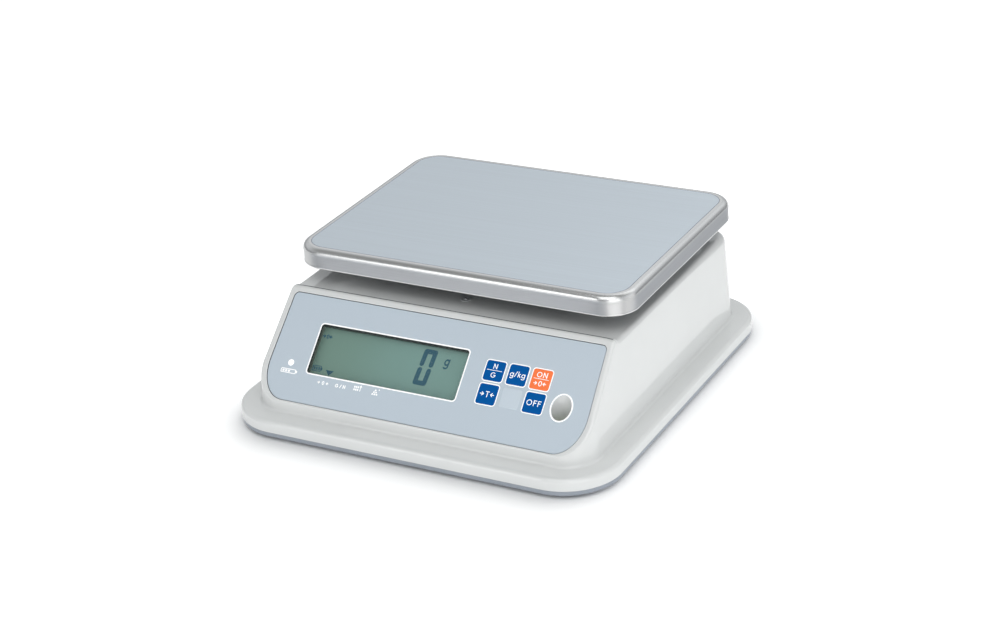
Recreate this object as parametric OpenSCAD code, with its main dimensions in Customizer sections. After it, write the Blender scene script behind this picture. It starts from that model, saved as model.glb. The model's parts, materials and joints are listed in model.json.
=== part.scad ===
// Compact bench weighing scale: moulded white housing on a blue-grey base
// tray, stainless pan on a single-point load cell, sloped front panel with a
// liquid crystal display, five keys, a charge lamp and a level window.
// Millimetres, +Z up, origin on the table under the middle of the base.

/* [Weighing pan] */
// Pan width, left to right
pan_w = 230; // [226:0.5:232]
// Pan depth, front to back
pan_d = 171.4; // [168:0.2:174]
// Pan corner radius in plan
pan_r = 19.5; // [18:0.5:22]
// Radius of the rounded top edge of the pan
pan_edge_r = 5; // [4:0.25:6]
// Height of the pan skirt
pan_h = 12.9; // [11:0.1:14]
// Sheet thickness of the pan
pan_t = 1.2; // [0.8:0.1:1.5]
// Height of the pan's top face above the table
pan_top = 95.1; // [94.6:0.1:95.6]
// Distance of the pan's centre behind the middle of the base
pan_y = 29.73; // [29.5:0.01:30]

/* [Base and housing] */
// Overall width of the base
base_w = 258.4; // [257:0.2:260]
// Overall depth of the base
base_d = 264.8; // [264:0.2:266]
// Corner radius of the base
base_r = 35.5; // [35:0.5:36]
// Clearance from the table to the underside of the base
base_z = 2.2; // [2:0.1:2.4]
// Height of the joint between base tray and housing
seam_z = 5.5; // [5.4:0.1:5.6]
// Height of the top of the skirting flange
flange_z = 13.3; // [13:0.1:13.6]
// Half width of the housing wall at the flange
wall_x = 115.6; // [115:0.1:116]
// Front of the housing wall at the flange
wall_front = -118.3; // [-118.5:0.1:-118]
// Rear of the housing wall at the flange
wall_rear = 118.4; // [118:0.1:118.6]
// Corner radius of the housing wall
wall_r = 21; // [20:0.5:22]
// Inward lean of the walls, millimetres per millimetre of height
wall_draft = 0.063; // [0.055:0.001:0.07]
// Wall thickness of the housing
wall_t = 2.6; // [2.4:0.1:2.8]
// Height of the flat deck under the pan
deck_z = 70.6; // [70.4:0.1:70.8]
// Height of the ridge behind the front panel
ridge_z = 72.4; // [72:0.1:72.8]
// Front edge of the deck
deck_front = -60.3; // [-60.6:0.1:-60]

/* [Front panel] */
// Slope of the front panel from level, degrees
panel_tilt = 43.85; // [43.5:0.05:44.2]
// Front edge of the panel overlay
panel_y = -116.37; // [-116.6:0.01:-116.2]
// Height of the front edge of the panel overlay
panel_z = 20.95; // [20.8:0.05:21.1]
// Length of the overlay up the slope
panel_len = 70; // [69.5:0.1:70.5]
// Half width of the overlay along its front edge
panel_hw = 110.05; // [109.8:0.05:110.2]
// Narrowing of each side of the overlay over its length
panel_taper = 2.41; // [2:0.05:2.6]
// Side of a square key
key_s = 12.5; // [12:0.1:12.6]
// Gap around a key
key_gap = 0.2; // [0.15:0.05:0.25]
// Stroke of a key
key_travel = 0.4; // [0.3:0.05:0.4]

/* [Levelling feet] */
// Sideways distance of each foot from the middle
foot_x = 96; // [95.5:0.1:96.5]
// Fore and aft distance of each foot from the middle
foot_y = 98; // [97.5:0.1:98.5]
// Radius of the turning cup of a foot
foot_r = 10.5; // [10:0.1:10.6]
// Length of the screw above the cup
foot_screw_len = 10; // [9:0.25:10]

/* [Load cell] */
// Length of the load cell beam
cell_l = 130; // [130:1:130]
// Width of the load cell beam
cell_w = 30; // [28:0.5:30]
// Height of the load cell beam
cell_h = 22; // [22:0.5:22]

/* [Hidden] */
$fn = 48;
white = "#eceded";
tray_blue = "#7f8c9e";
steel = "#c3c8cc";
alloy = "#b9bcc0";
zinc = "#9a9da1";
brass = "#b99a4a";
rubber = "#2b2d30";
board_green = "#1f6b3f";

// Places on the panel: along the panel (u) and up the slope (v)
lcd_u0 = -81.6; lcd_u1 = 22.4; lcd_v0 = 19.8; lcd_v1 = 52.4;
key_cols = [42.1, 57.6, 73.1];
key_rows = [42.6, 27.7];
led_u = -94.3; led_v = 24.2;
well_x = 91; well_y = panel_y + 28 * cos(panel_tilt);
well_r = 5.75;
face_w = 0.5;            // raised rim of the panel above the overlay
inner_w = -4;            // inner face of the panel wall
overlay_t = 0.5;
board_w = -11;           // front face of the display board

// Heights of the weighing stack
ped_z = seam_z;          // pedestal stands on the tray floor
cell_z = 30;
cell_top = cell_z + cell_h;
hub_z = cell_top + 2;
arm_z = 80; arm_t = 6;
pan_in = pan_top - pan_t;
pan_bot = pan_top - pan_h;
hub_x0 = cell_l / 2 - 27; hub_x1 = cell_l / 2;
hub_y0 = pan_y - cell_w / 2; hub_y1 = pan_y + cell_w / 2;
arm_ends = [for (sx = [-1, 1], sy = [-1, 1]) [sx * 88, pan_y + sy * 62]];
feet = [[-foot_x, -foot_y], [foot_x, -foot_y], [-foot_x, foot_y], [foot_x, foot_y]];
tray_screws = [[-107.5, 0], [107.5, 0], [-45, -112], [45, -112], [-80, 112], [80, 112]];
ped_screws = [[-68, pan_y - 12.5], [-68, pan_y + 12.5], [68, pan_y - 12.5], [68, pan_y + 12.5]];
board_holes = [[-91, -76], [-91, -24], [-19, -76], [-19, -24]];
peg_uv = [[-93.5, 14], [-93.5, 58], [76, 14], [76, 58]];
jack_x = -67.2; jack_z = 30; jack_face = 112.4;
flap_y = 114.8; flap_z = 38.2;

// Points of a rectangle with rounded corners
function arc_pts(cx, cy, rx, ry, a0, a1, n) =
  [for (i = [0 : n]) let (a = a0 + (a1 - a0) * i / n) [cx + rx * cos(a), cy + ry * sin(a)]];
function rr_pts(w, d, r, n = 12) = concat(
  arc_pts(w / 2 - r, d / 2 - r, r, r, 0, 90, n),
  arc_pts(-w / 2 + r, d / 2 - r, r, r, 90, 180, n),
  arc_pts(-w / 2 + r, -d / 2 + r, r, r, 180, 270, n),
  arc_pts(w / 2 - r, -d / 2 + r, r, r, 270, 360, n));
module rrect(w, d, r, n = 12) polygon(rr_pts(w, d, r, n));
module slab(w, d, r, z0, z1, n = 12)
  translate([0, 0, z0]) linear_extrude(z1 - z0) rrect(w, d, r, n);
module box(a, b) translate(a) cube(b - a);
module rod(p, r, z0, z1) translate([p[0], p[1], z0]) cylinder(h = z1 - z0, r = r);

// Panel frame: x along the panel, y up the slope, z out of the face
module on_panel() translate([0, panel_y, panel_z]) rotate([panel_tilt, 0, 0]) children();
module below_panel(w) on_panel() translate([-300, -300, -400]) cube([600, 600, 400 + w]);
function panel_half(v) = panel_hw - panel_taper * v / panel_len;
function taper_pts(p) = [for (q = p) [q[0] * panel_half(q[1]) / panel_hw, q[1]]];
function overlay_pts(g) = let (b = 17.5 + g, c = 25 + g, t = 3 + g, h = panel_hw + g)
  taper_pts(concat(
    arc_pts(h - b, c - g, b, c, 270, 360, 12),
    arc_pts(h - t, panel_len + g - t, t, t, 0, 90, 5),
    arc_pts(-h + t, panel_len + g - t, t, t, 90, 180, 5),
    arc_pts(-h + b, c - g, b, c, 180, 270, 12)));
module pbox(u0, v0, w0, u1, v1, w1) box([u0, v0, w0], [u1, v1, w1]);
module key_slot(i, j, s, w0, w1)
  translate([key_cols[i], key_rows[j], w0]) linear_extrude(w1 - w0) rrect(s, s, 1.1, 5);
key_ij = [[0, 0], [1, 0], [2, 0], [0, 1], [2, 1]];

// Tube swept along a list of points
function unit(a) = a / norm(a);
function tangent(p, i) = unit(p[min(i + 1, len(p) - 1)] - p[max(i - 1, 0)]);
function sweep_pts(p, r, n) = [for (i = [0 : len(p) - 1])
  let (t = tangent(p, i), s = unit(cross(t, [0.02, 0.01, 1])), q = cross(s, t))
  for (k = [0 : n - 1]) p[i] + r * (cos(360 * k / n) * s + sin(360 * k / n) * q)];
module swept(p, r, n = 8) {
  m = len(p);
  polyhedron(sweep_pts(p, r, n), concat(
    [[for (k = [0 : n - 1]) k]],
    [for (i = [0 : m - 2], k = [0 : n - 1])
      [i * n + k, (i + 1) * n + k, (i + 1) * n + (k + 1) % n, i * n + (k + 1) % n]],
    [[for (k = [n - 1 : -1 : 0]) (m - 1) * n + k]]));
}

// ---------------------------------------------------------------- housing

module wall_outline(inset)
  translate([0, (wall_front + wall_rear) / 2])
    rrect(2 * (wall_x - inset), wall_rear - wall_front - 2 * inset, wall_r - inset);
module wall_block(inset, z0, z1) hull() {
  translate([0, 0, z0]) linear_extrude(0.02) wall_outline(inset + wall_draft * (z0 - flange_z));
  translate([0, 0, z1 - 0.02]) linear_extrude(0.02) wall_outline(inset + wall_draft * (z1 - flange_z));
}
module flange_block() hull() {
  slab(base_w, base_d, base_r, seam_z, flange_z - 1.6);
  slab(base_w - 3.2, base_d - 3.2, base_r - 1.6, flange_z - 1.6, flange_z);
}

module upper_housing() color(white) difference() {
  union() {
    difference() {
      union() {
        flange_block();
        intersection() {
          wall_block(0, seam_z + 0.5, ridge_z);
          below_panel(face_w);
        }
      }
      box([-200, deck_front, deck_z], [200, 200, deck_z + 20]);
      // inside of the shell
      slab(base_w - 6, base_d - 6, base_r - 3, seam_z - 1, flange_z - 3);
      intersection() {
        wall_block(wall_t, seam_z - 1, deck_z - wall_t);
        below_panel(inner_w);
      }
    }
    // screw bosses
    for (p = tray_screws) rod(p, 4.5, seam_z, p[1] < -50 ? 18 : 32);
    // level well
    intersection() {
      rod([well_x, well_y], 7.5, 19, 60);
      below_panel(-1.2);
    }
    // pegs for the display board
    on_panel() for (q = peg_uv) rod(q, 3, board_w, inner_w);
    // thick pad behind the charging socket
    box([jack_x - 14, jack_face - 3, jack_z - 12], [jack_x + 14, 115, jack_z + 12]);
    // upstand around the deck opening
    difference() {
      box([hub_x0 - 7, hub_y0 - 7, deck_z - wall_t], [hub_x1 + 7, hub_y1 + 7, 75]);
      box([hub_x0 - 5, hub_y0 - 5, deck_z - 5], [hub_x1 + 5, hub_y1 + 5, 80]);
    }
  }
  // deck opening
  box([hub_x0 - 5, hub_y0 - 5, deck_z - 5], [hub_x1 + 5, hub_y1 + 5, 80]);
  // panel seat, key pocket, window seat, display opening, lamp hole, cable slot
  on_panel() {
    translate([0, 0, -overlay_t]) linear_extrude(3) polygon(overlay_pts(0.15));
    pbox(32.8, 13.8, -1.4, 82.2, 52.2, 0);
    pbox(-83, 17.8, -1.7, 24.4, 54.2, 0);
    pbox(lcd_u0, lcd_v0, -10, lcd_u1, lcd_v1, 0);
    rod([led_u, led_v], 2.1, -10, 2);
    pbox(55.5, 14.6, -10, 64.5, 15.4, 0);
    for (q = peg_uv) rod(q, 1.2, board_w - 0.5, board_w + 6);
  }
  rod([well_x, well_y], well_r, 21, 60);
  for (p = tray_screws) rod(p, 1.55, seam_z - 1, seam_z + 11);
  for (y = [-41, 105]) rod([0, y], 1.5, deck_z - 5, deck_z + 1);
  // charging socket pocket
  box([jack_x - 12, jack_face, jack_z - 10], [jack_x + 12, 122, jack_z + 10]);
  translate([jack_x, 122, jack_z]) rotate([90, 0, 0]) cylinder(h = 20, r = 5.1);
}

module base_plate() color(tray_blue) difference() {
  union() {
    slab(base_w, base_d, base_r, base_z, seam_z);
    difference() {
      slab(base_w - 6.6, base_d - 6.6, base_r - 3.3, seam_z, seam_z + 2.8);
      slab(base_w - 10.6, base_d - 10.6, base_r - 5.3, seam_z - 1, seam_z + 4);
    }
    for (p = feet) rod(p, 13.5, seam_z - 1, 15);
    // battery bay and its cover bosses
    box([-53, 54.5, seam_z - 1], [53, 112.5, 36]);
    for (s = [-1, 1]) rod([s * 57.5, 83.5], 4, seam_z - 1, 12);
  }
  // foot recesses and insert seats
  for (p = feet) { rod(p, 11.5, base_z - 1, 7.5); rod(p, 4.5, 7, 16); }
  // battery opening with a seat for the cover
  box([-51, 56.5, base_z - 1], [51, 110.5, 34]);
  box([-62.3, 53.2, base_z - 1], [62.3, 113.8, 4.05]);
  for (s = [-1, 1]) rod([s * 57.5, 83.5], 1.3, base_z, 11);
  translate([-54, 62, 26]) rotate([0, 90, 0]) cylinder(h = 5, r = 2.4);
  // screw holes with counterbores
  for (p = tray_screws) { rod(p, 3.6, base_z - 1, 4); rod(p, 1.7, base_z, seam_z + 1); }
  for (p = ped_screws) { rod(p, 4.2, base_z - 1, 3.65); rod(p, 2.2, base_z, seam_z + 1); }
  // groove for the gasket
  difference() {
    slab(base_w - 1.6, base_d - 1.6, base_r - 0.8, seam_z - 0.8, seam_z + 0.01);
    slab(base_w - 4.4, base_d - 4.4, base_r - 2.2, seam_z - 2, seam_z + 1);
  }
}

module base_gasket() color(rubber) difference() {
  slab(base_w - 1.6, base_d - 1.6, base_r - 0.8, seam_z - 0.8, seam_z);
  slab(base_w - 4.4, base_d - 4.4, base_r - 2.2, seam_z - 2, seam_z + 1);
}

module countersunk(p, rh, z0, z1, rs, z2) { rod(p, rh, z0, z1); rod(p, rs, z0, z2); }
module housing_screws() color(zinc) for (p = tray_screws) difference() {
  countersunk(p, 3.4, base_z + 0.1, 4, 1.5, 15.5);
  translate([p[0] - 2.2, p[1] - 0.4, base_z]) cube([4.4, 0.8, 0.8]);
  translate([p[0] - 0.4, p[1] - 2.2, base_z]) cube([0.8, 4.4, 0.8]);
}
module pedestal_screws() color(zinc) for (p = ped_screws) difference() {
  countersunk(p, 4, base_z + 0.1, 3.65, 1.95, 11);
  translate([p[0], p[1], base_z]) cylinder(h = 0.9, r = 1.8, $fn = 6);
}
module foot_inserts() color(brass) for (p = feet) difference() {
  rod(p, 4.5, 7.5, 14.5);
  rod(p, 3, 7, 15);
}

// ------------------------------------------------------------ weighing stack

module cell_pedestal() color(alloy) difference() {
  union() {
    box([-72, pan_y - 17.7, ped_z], [72, pan_y + 17.7, 11.5]);
    box([-cell_l / 2, hub_y0, 11.5], [-cell_l / 2 + 27, hub_y1, cell_z]);
    for (s = [-1, 1]) box([-38, pan_y + s * 14 - 1.5, 11.5], [64, pan_y + s * 14 + 1.5, 16]);
  }
  for (x = [-57.5, -44.5]) { rod([x, pan_y], 3.3, ped_z - 1, cell_z + 1); rod([x, pan_y], 5.5, ped_z - 1, 11.6); }
  for (p = ped_screws) rod(p, 2, ped_z - 1, 11.2);
  rod([58, pan_y], 3, ped_z - 1, 12);
}
module fixed_end_bolts() color(zinc) for (x = [-57.5, -44.5]) difference() {
  countersunk([x, pan_y], 5, ped_z + 0.1, 11.6, 2.95, 42);
  translate([x, pan_y, ped_z]) cylinder(h = 3, r = 2.9, $fn = 6);
}
module load_cell() color(alloy) difference() {
  box([-cell_l / 2, hub_y0, cell_z], [cell_l / 2, hub_y1, cell_top]);
  for (x = [-10, 10]) translate([x, hub_y0 - 1, cell_z + cell_h / 2]) rotate([-90, 0, 0]) cylinder(h = cell_w + 2, r = 7.5);
  box([-10, hub_y0 - 1, cell_z + cell_h / 2 - 2.5], [10, hub_y1 + 1, cell_z + cell_h / 2 + 2.5]);
  for (x = [-57.5, -44.5]) rod([x, pan_y], 3, cell_z - 1, 43);
  for (x = [44.5, 57.5]) rod([x, pan_y], 3, 39, cell_top + 1);
}
module overload_stop() color(zinc) {
  rod([58, pan_y], 2.95, 7, cell_z - 0.7);
  difference() {
    translate([58, pan_y, 11.5]) cylinder(h = 4.5, r = 5.7, $fn = 6);
    rod([58, pan_y], 3, 11, 17);
  }
}
module live_end_spacer() color(zinc) difference() {
  box([hub_x0, hub_y0, cell_top], [hub_x1, hub_y1, hub_z]);
  for (x = [44.5, 57.5]) rod([x, pan_y], 3.3, cell_top - 1, hub_z + 1);
}
module sub_platform() color(alloy) difference() {
  union() {
    box([hub_x0, hub_y0, hub_z], [hub_x1, hub_y1, arm_z + 1]);
    translate([0, 0, arm_z]) linear_extrude(arm_t) {
      translate([-88, pan_y - 70]) square([16, 140]);
      translate([72, pan_y - 70]) square([16, 140]);
      translate([-80, pan_y - 12]) square([160, 24]);
      for (p = arm_ends) translate(p) circle(r = 11);
    }
    for (s = [-1, 1]) box([-78, pan_y + s * 10 - 1.5, arm_z - 4], [hub_x0 - 8, pan_y + s * 10 + 1.5, arm_z]);
  }
  for (x = [44.5, 57.5]) { rod([x, pan_y], 3.3, hub_z - 1, 70); rod([x, pan_y], 5.5, 66, 90); }
  for (p = arm_ends) rod(p, 3, arm_z - 1, arm_z + arm_t + 1);
}
module live_end_bolts() color(zinc) for (x = [44.5, 57.5]) difference() {
  union() { rod([x, pan_y], 2.95, 40, 66); rod([x, pan_y], 5, 66, 72); }
  translate([x, pan_y, 69]) cylinder(h = 4, r = 2.9, $fn = 6);
}
module pan_cushions() color(rubber) for (p = arm_ends) {
  rod(p, 2.95, arm_z + 0.5, arm_z + arm_t);
  rod(p, 7, arm_z + arm_t, pan_in);
}
module seal_boot() color(rubber) difference() {
  box([hub_x0 - 5, hub_y0 - 5, 72.5], [hub_x1 + 5, hub_y1 + 5, 74]);
  box([hub_x0, hub_y0, 72], [hub_x1, hub_y1, 75]);
}
module deck_stops() color(zinc) for (y = [-41, 105]) difference() {
  union() { rod([0, y], 1.45, deck_z - 4, deck_z + 0.5); rod([0, y], 3.2, deck_z, deck_z + 2.4); }
  translate([0, y, deck_z + 1.6]) cylinder(h = 2, r = 1.3, $fn = 6);
}

// Solid of revolution standing at each corner of the pan
module pan_corner(r, e, z0, z1)
  rotate_extrude($fn = 48) polygon(concat([[0, z0], [r, z0]],
    [for (i = [0 : 6]) [r - e + e * cos(15 * i), z1 - e + e * sin(15 * i)]], [[0, z1]]));
module pan_block(inset, z0, z1, e) translate([0, pan_y, 0]) hull()
  for (sx = [-1, 1], sy = [-1, 1])
    translate([sx * (pan_w / 2 - pan_r), sy * (pan_d / 2 - pan_r), 0])
      pan_corner(pan_r - inset, e, z0, z1);
module weighing_pan() color(steel) {
  difference() {
    pan_block(0, pan_bot, pan_top, pan_edge_r);
    pan_block(pan_t, pan_bot - 1, pan_in, pan_edge_r - pan_t);
  }
  for (p = arm_ends) difference() {
    rod(p, 8.8, pan_in - 4, pan_in + 0.1);
    rod(p, 7.6, pan_in - 5, pan_in);
  }
}

// -------------------------------------------------------------- front panel

module front_overlay() color("#bac7d2") difference() {
  on_panel() difference() {
    translate([0, 0, -overlay_t]) linear_extrude(overlay_t) polygon(overlay_pts(0));
    pbox(lcd_u0, lcd_v0, -2, lcd_u1, lcd_v1, 2);
    rod([led_u, led_v], 2.1, -2, 2);
    for (k = key_ij) key_slot(k[0], k[1], key_s + 2 * key_gap, -2, 2);
  }
  rod([well_x, well_y], well_r, 21, 60);
}
module lcd_window() color([0.85, 0.9, 0.92, 0.4]) on_panel() pbox(-82.8, 18, -1.7, 24.2, 54, -overlay_t);
module lcd_glass() color("#76928a") on_panel() pbox(-84, 17, -6.2, 25, 55, inner_w);
module lcd_frame() color("#30343a") on_panel() difference() {
  pbox(-88, 13, board_w, 29, 59, inner_w);
  pbox(-84.1, 16.9, -6.2, 25.1, 55.1, inner_w + 1);
  pbox(-83, 17.9, board_w - 1, 24, 54.1, -6);
}
module lcd_backlight() color("#e6efe6") on_panel() pbox(-82.5, 22, -9.2, 23.5, 50, -6.2);
module zebra_strips() color(rubber) on_panel() for (v = [18.2, 50.8]) pbox(-82, v, board_w, 23, v + 3, -6.2);
module display_board() color(board_green) on_panel() difference() {
  pbox(-100, 10, board_w - 1.6, 80, 62, board_w);
  for (q = peg_uv) rod(q, 1.6, board_w - 3, board_w + 1);
}
module display_components() color("#26282b") on_panel() {
  pbox(-60, 34, board_w - 5, -40, 39, board_w - 1.6);
  pbox(-20, 28, board_w - 3.6, -8, 40, board_w - 1.6);
  pbox(56, 10.5, board_w - 4.6, 64, 14.5, board_w - 1.6);
  for (u = [0, 6, 12]) pbox(u, 30, board_w - 2.8, u + 3, 32, board_w - 1.6);
}
module display_screws() color(zinc) on_panel() for (q = peg_uv) difference() {
  union() { rod(q, 2.6, board_w - 3.2, board_w - 1.6); rod(q, 1.15, board_w - 2, board_w + 5); }
  translate([q[0] - 1.6, q[1] - 0.3, board_w - 4]) cube([3.2, 0.6, 1.4]);
}
module keypad_spacer() color("#d9dcdf") on_panel() difference() {
  pbox(33, 18, -1.25, 82, 52, -overlay_t);
  for (k = key_ij) key_slot(k[0], k[1], key_s + 2 * key_gap, -2, 2);
}
module keypad_circuit() color("#c9b98a") on_panel() union() {
  pbox(33, 18, -1.4, 82, 52, -1.25);
  pbox(56, 14.9, -1.4, 64, 18, -1.25);
  pbox(56, 14.9, board_w, 64, 15.05, -1.25);
}
module key_domes() color(steel) on_panel() for (k = key_ij)
  rod([key_cols[k[0]], key_rows[k[1]]], 4, -1.25, -1.0);
module key_pad(i, j, c) color(c) on_panel() key_slot(i, j, key_s, -0.55, 0.25);
module key_net_gross() key_pad(0, 0, "#0a55a0");
module key_unit() key_pad(1, 0, "#0a55a0");
module key_on_zero() key_pad(2, 0, "#ff7a48");
module key_tare() key_pad(0, 1, "#0a55a0");
module key_off() key_pad(2, 1, "#0a55a0");
module led_light_pipe() color("#f4f6f7") on_panel() union() {
  rod([led_u, led_v], 2.05, -7, 0);
  rod([led_u, led_v], 3, -5.2, inner_w);
}
module charge_led() color("#d8dde0") on_panel() rod([led_u, led_v], 1.5, board_w, -7.3);
module level_vial() color("#c9ced2") difference() {
  rod([well_x, well_y], 5.6, 21, 27);
  rod([well_x, well_y], 4.8, 22, 28);
}
module level_lens() color([0.8, 0.92, 0.6, 0.5]) {
  rod([well_x, well_y], 4.75, 22, 27);
  translate([well_x, well_y, 0]) rotate_extrude() polygon(concat([[0, 27], [4.75, 27]],
    [for (i = [1 : 5]) [4.75 * cos(18 * i), 27 + 1.2 * sin(18 * i)]]));
}

// -------------------------------------------------------------- electronics

module main_board() color(board_green) difference() {
  box([-95, -80, 16], [-15, -20, 17.6]);
  for (p = board_holes) rod(p, 1.6, 15, 19);
}
module board_standoffs() color(brass) for (p = board_holes) difference() {
  translate([p[0], p[1], seam_z]) cylinder(h = 16 - seam_z, r = 3.2, $fn = 6);
  rod(p, 1.45, 8, 17);
}
module board_screws() color(zinc) for (p = board_holes) difference() {
  union() { rod(p, 1.4, 9, 18); rod(p, 2.75, 17.6, 19.4); }
  translate([p[0] - 1.8, p[1] - 0.35, 18.6]) cube([3.6, 0.7, 2]);
}
module board_components() color("#2a2c2f") {
  box([-60, -75, 17.6], [-40, -70, 23]);
  box([-74, -30, 17.6], [-66, -22, 25.6]);
  box([-87.8, -30, 17.6], [-80, -22, 24.6]);
  box([-62, -58, 17.6], [-46, -42, 19.6]);
  box([-36, -60, 17.6], [-28, -48, 19.4]);
  for (y = [-40, -52, -64]) rod([-82, y], 4, 17.6, 29);
  for (x = [-36, -30, -24]) rod([x, -36], 2.5, 17.6, 24);
  box([-58, -34, 17.6], [-48, -28, 21]);
}
module battery() color("#3a3d42") {
  box([-48.5, 58, 8], [48.5, 109, 32]);
}
module battery_cover() color(tray_blue) difference() {
  union() {
    box([-62, 53.5, base_z], [62, 113.5, 4]);
    for (x = [-45, 41]) box([x, 60, 4], [x + 4, 107, 8]);
  }
  for (s = [-1, 1]) { rod([s * 57.5, 83.5], 3.1, base_z - 1, 3.2); rod([s * 57.5, 83.5], 1.6, base_z, 5); }
  for (i = [-4 : 4]) box([i * 6 - 1, 57, base_z - 1], [i * 6 + 1, 63, base_z + 0.7]);
}
module battery_cover_screws() color(zinc) for (s = [-1, 1]) difference() {
  countersunk([s * 57.5, 83.5], 2.9, base_z + 0.1, 3.2, 1.25, 10);
  translate([s * 57.5 - 1.8, 83.1, base_z]) cube([3.6, 0.8, 0.6]);
}
module along_y(x, z, r, y0, y1) translate([x, y1, z]) rotate([90, 0, 0]) cylinder(h = y1 - y0, r = r);
module dc_jack() color("#1d1f22") {
  difference() {
    union() {
      along_y(jack_x, jack_z, 5, 98, jack_face);
      along_y(jack_x, jack_z, 6.4, jack_face, jack_face + 1);
    }
    along_y(jack_x, jack_z, 2.75, 103, jack_face + 2);
  }
  along_y(jack_x, jack_z, 1, 102.5, jack_face - 1);
}
module jack_nut() color(zinc) difference() {
  translate([jack_x, jack_face - 3, jack_z]) rotate([90, 0, 0]) cylinder(h = 2.4, r = 7.5, $fn = 6);
  along_y(jack_x, jack_z, 5.05, 100, 115);
}
module jack_cover() color(rubber) union() {
  box([jack_x - 11.4, flap_y - 0.8, jack_z - 9.4], [jack_x + 11.4, flap_y + 0.8, flap_z]);
  translate([jack_x - 11.4, flap_y, flap_z]) rotate([0, 90, 0]) cylinder(h = 22.8, r = 1.2);
  box([jack_x - 4, flap_y + 0.7, jack_z - 8], [jack_x + 4, flap_y + 1.8, jack_z - 6]);
}

// Routes of the leads inside the housing
cell_route = [[-65, 29.73, 41], [-71, 29.73, 41], [-78, 28, 40], [-84, 22, 38], [-86, 12, 36],
  [-85, 2, 33], [-80, -7, 29], [-74, -13, 25], [-70, -16, 22.5], [-70, -19, 21.5], [-70, -22, 21.5]];
lead_route = [[-48.5, 62, 26], [-54, 62, 26], [-60, 61, 25.5], [-70, 57, 24], [-80, 50, 22], [-87, 40, 20],
  [-91, 28, 18], [-93, 14, 17], [-92, 2, 17], [-89, -8, 18.5], [-86, -15, 20.5], [-86, -18, 21], [-86, -22, 21]];
module cell_cable() color("#8f9398") swept(cell_route, 2);
module battery_lead() color("#a33c35") swept(lead_route, 1.5);
module display_ribbon() color("#b7bcc2") translate([-40.5, 0, 0]) rotate([90, 0, -90]) linear_extrude(19)
  polygon([[72.7, 23.2], [74.2, 28], [78.0, 33.6], [78.5, 33.3], [74.8, 27.8], [73.3, 23.2]]);

// --------------------------------------------------------------------- feet

module foot_sole(p) color(rubber) rod(p, foot_r - 2.05, 0, 2.9);
module foot_screw(p) color("#3b3e43") difference() {
  union() {
    rod(p, foot_r, 0.9, 6);
    rod(p, 2.95, 5, 6 + foot_screw_len);
  }
  rod(p, foot_r - 2, 0, 3);
  for (i = [0 : 15]) rod(p + (foot_r + 0.5) * [cos(22.5 * i), sin(22.5 * i)], 1, 0, 7);
}
module foot_sole_front_left() foot_sole(feet[0]);
module foot_sole_front_right() foot_sole(feet[1]);
module foot_sole_rear_left() foot_sole(feet[2]);
module foot_sole_rear_right() foot_sole(feet[3]);
module foot_screw_front_left() foot_screw(feet[0]);
module foot_screw_front_right() foot_screw(feet[1]);
module foot_screw_rear_left() foot_screw(feet[2]);
module foot_screw_rear_right() foot_screw(feet[3]);

base_plate();
base_gasket();
upper_housing();
housing_screws();
foot_inserts();
cell_pedestal();
pedestal_screws();
fixed_end_bolts();
load_cell();
overload_stop();
seal_boot();
deck_stops();
front_overlay();
lcd_window();
lcd_glass();
lcd_frame();
lcd_backlight();
zebra_strips();
display_board();
display_components();
display_screws();
keypad_spacer();
keypad_circuit();
key_domes();
led_light_pipe();
charge_led();
level_vial();
level_lens();
main_board();
board_standoffs();
board_screws();
board_components();
battery();
battery_cover();
battery_cover_screws();
dc_jack();
jack_nut();
cell_cable();
battery_lead();
display_ribbon();
sub_platform();
live_end_spacer();
live_end_bolts();
pan_cushions();
weighing_pan();
key_net_gross();
key_unit();
key_on_zero();
key_tare();
key_off();
jack_cover();
foot_sole_front_left();
foot_sole_front_right();
foot_sole_rear_left();
foot_sole_rear_right();
foot_screw_front_left();
foot_screw_front_right();
foot_screw_rear_left();
foot_screw_rear_right();
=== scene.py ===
import bpy
import bmesh
import json
import math
import numpy as np
from mathutils import Matrix, Vector
from mathutils.geometry import delaunay_2d_cdt


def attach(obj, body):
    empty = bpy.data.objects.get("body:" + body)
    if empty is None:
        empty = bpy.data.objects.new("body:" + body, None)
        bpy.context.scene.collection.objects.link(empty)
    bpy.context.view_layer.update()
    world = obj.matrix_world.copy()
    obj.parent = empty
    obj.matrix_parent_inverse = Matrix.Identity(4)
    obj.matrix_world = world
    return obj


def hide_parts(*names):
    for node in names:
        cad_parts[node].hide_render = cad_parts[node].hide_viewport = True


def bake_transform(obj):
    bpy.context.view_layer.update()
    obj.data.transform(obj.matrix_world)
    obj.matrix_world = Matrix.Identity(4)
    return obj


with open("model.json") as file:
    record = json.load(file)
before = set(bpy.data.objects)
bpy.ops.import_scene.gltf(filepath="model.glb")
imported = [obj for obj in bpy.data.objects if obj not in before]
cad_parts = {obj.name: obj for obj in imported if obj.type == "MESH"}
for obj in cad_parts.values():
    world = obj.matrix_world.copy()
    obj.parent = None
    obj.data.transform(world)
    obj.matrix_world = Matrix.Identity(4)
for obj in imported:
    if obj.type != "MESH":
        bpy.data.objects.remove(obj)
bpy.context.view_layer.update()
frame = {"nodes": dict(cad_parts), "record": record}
scene = bpy.context.scene

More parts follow.
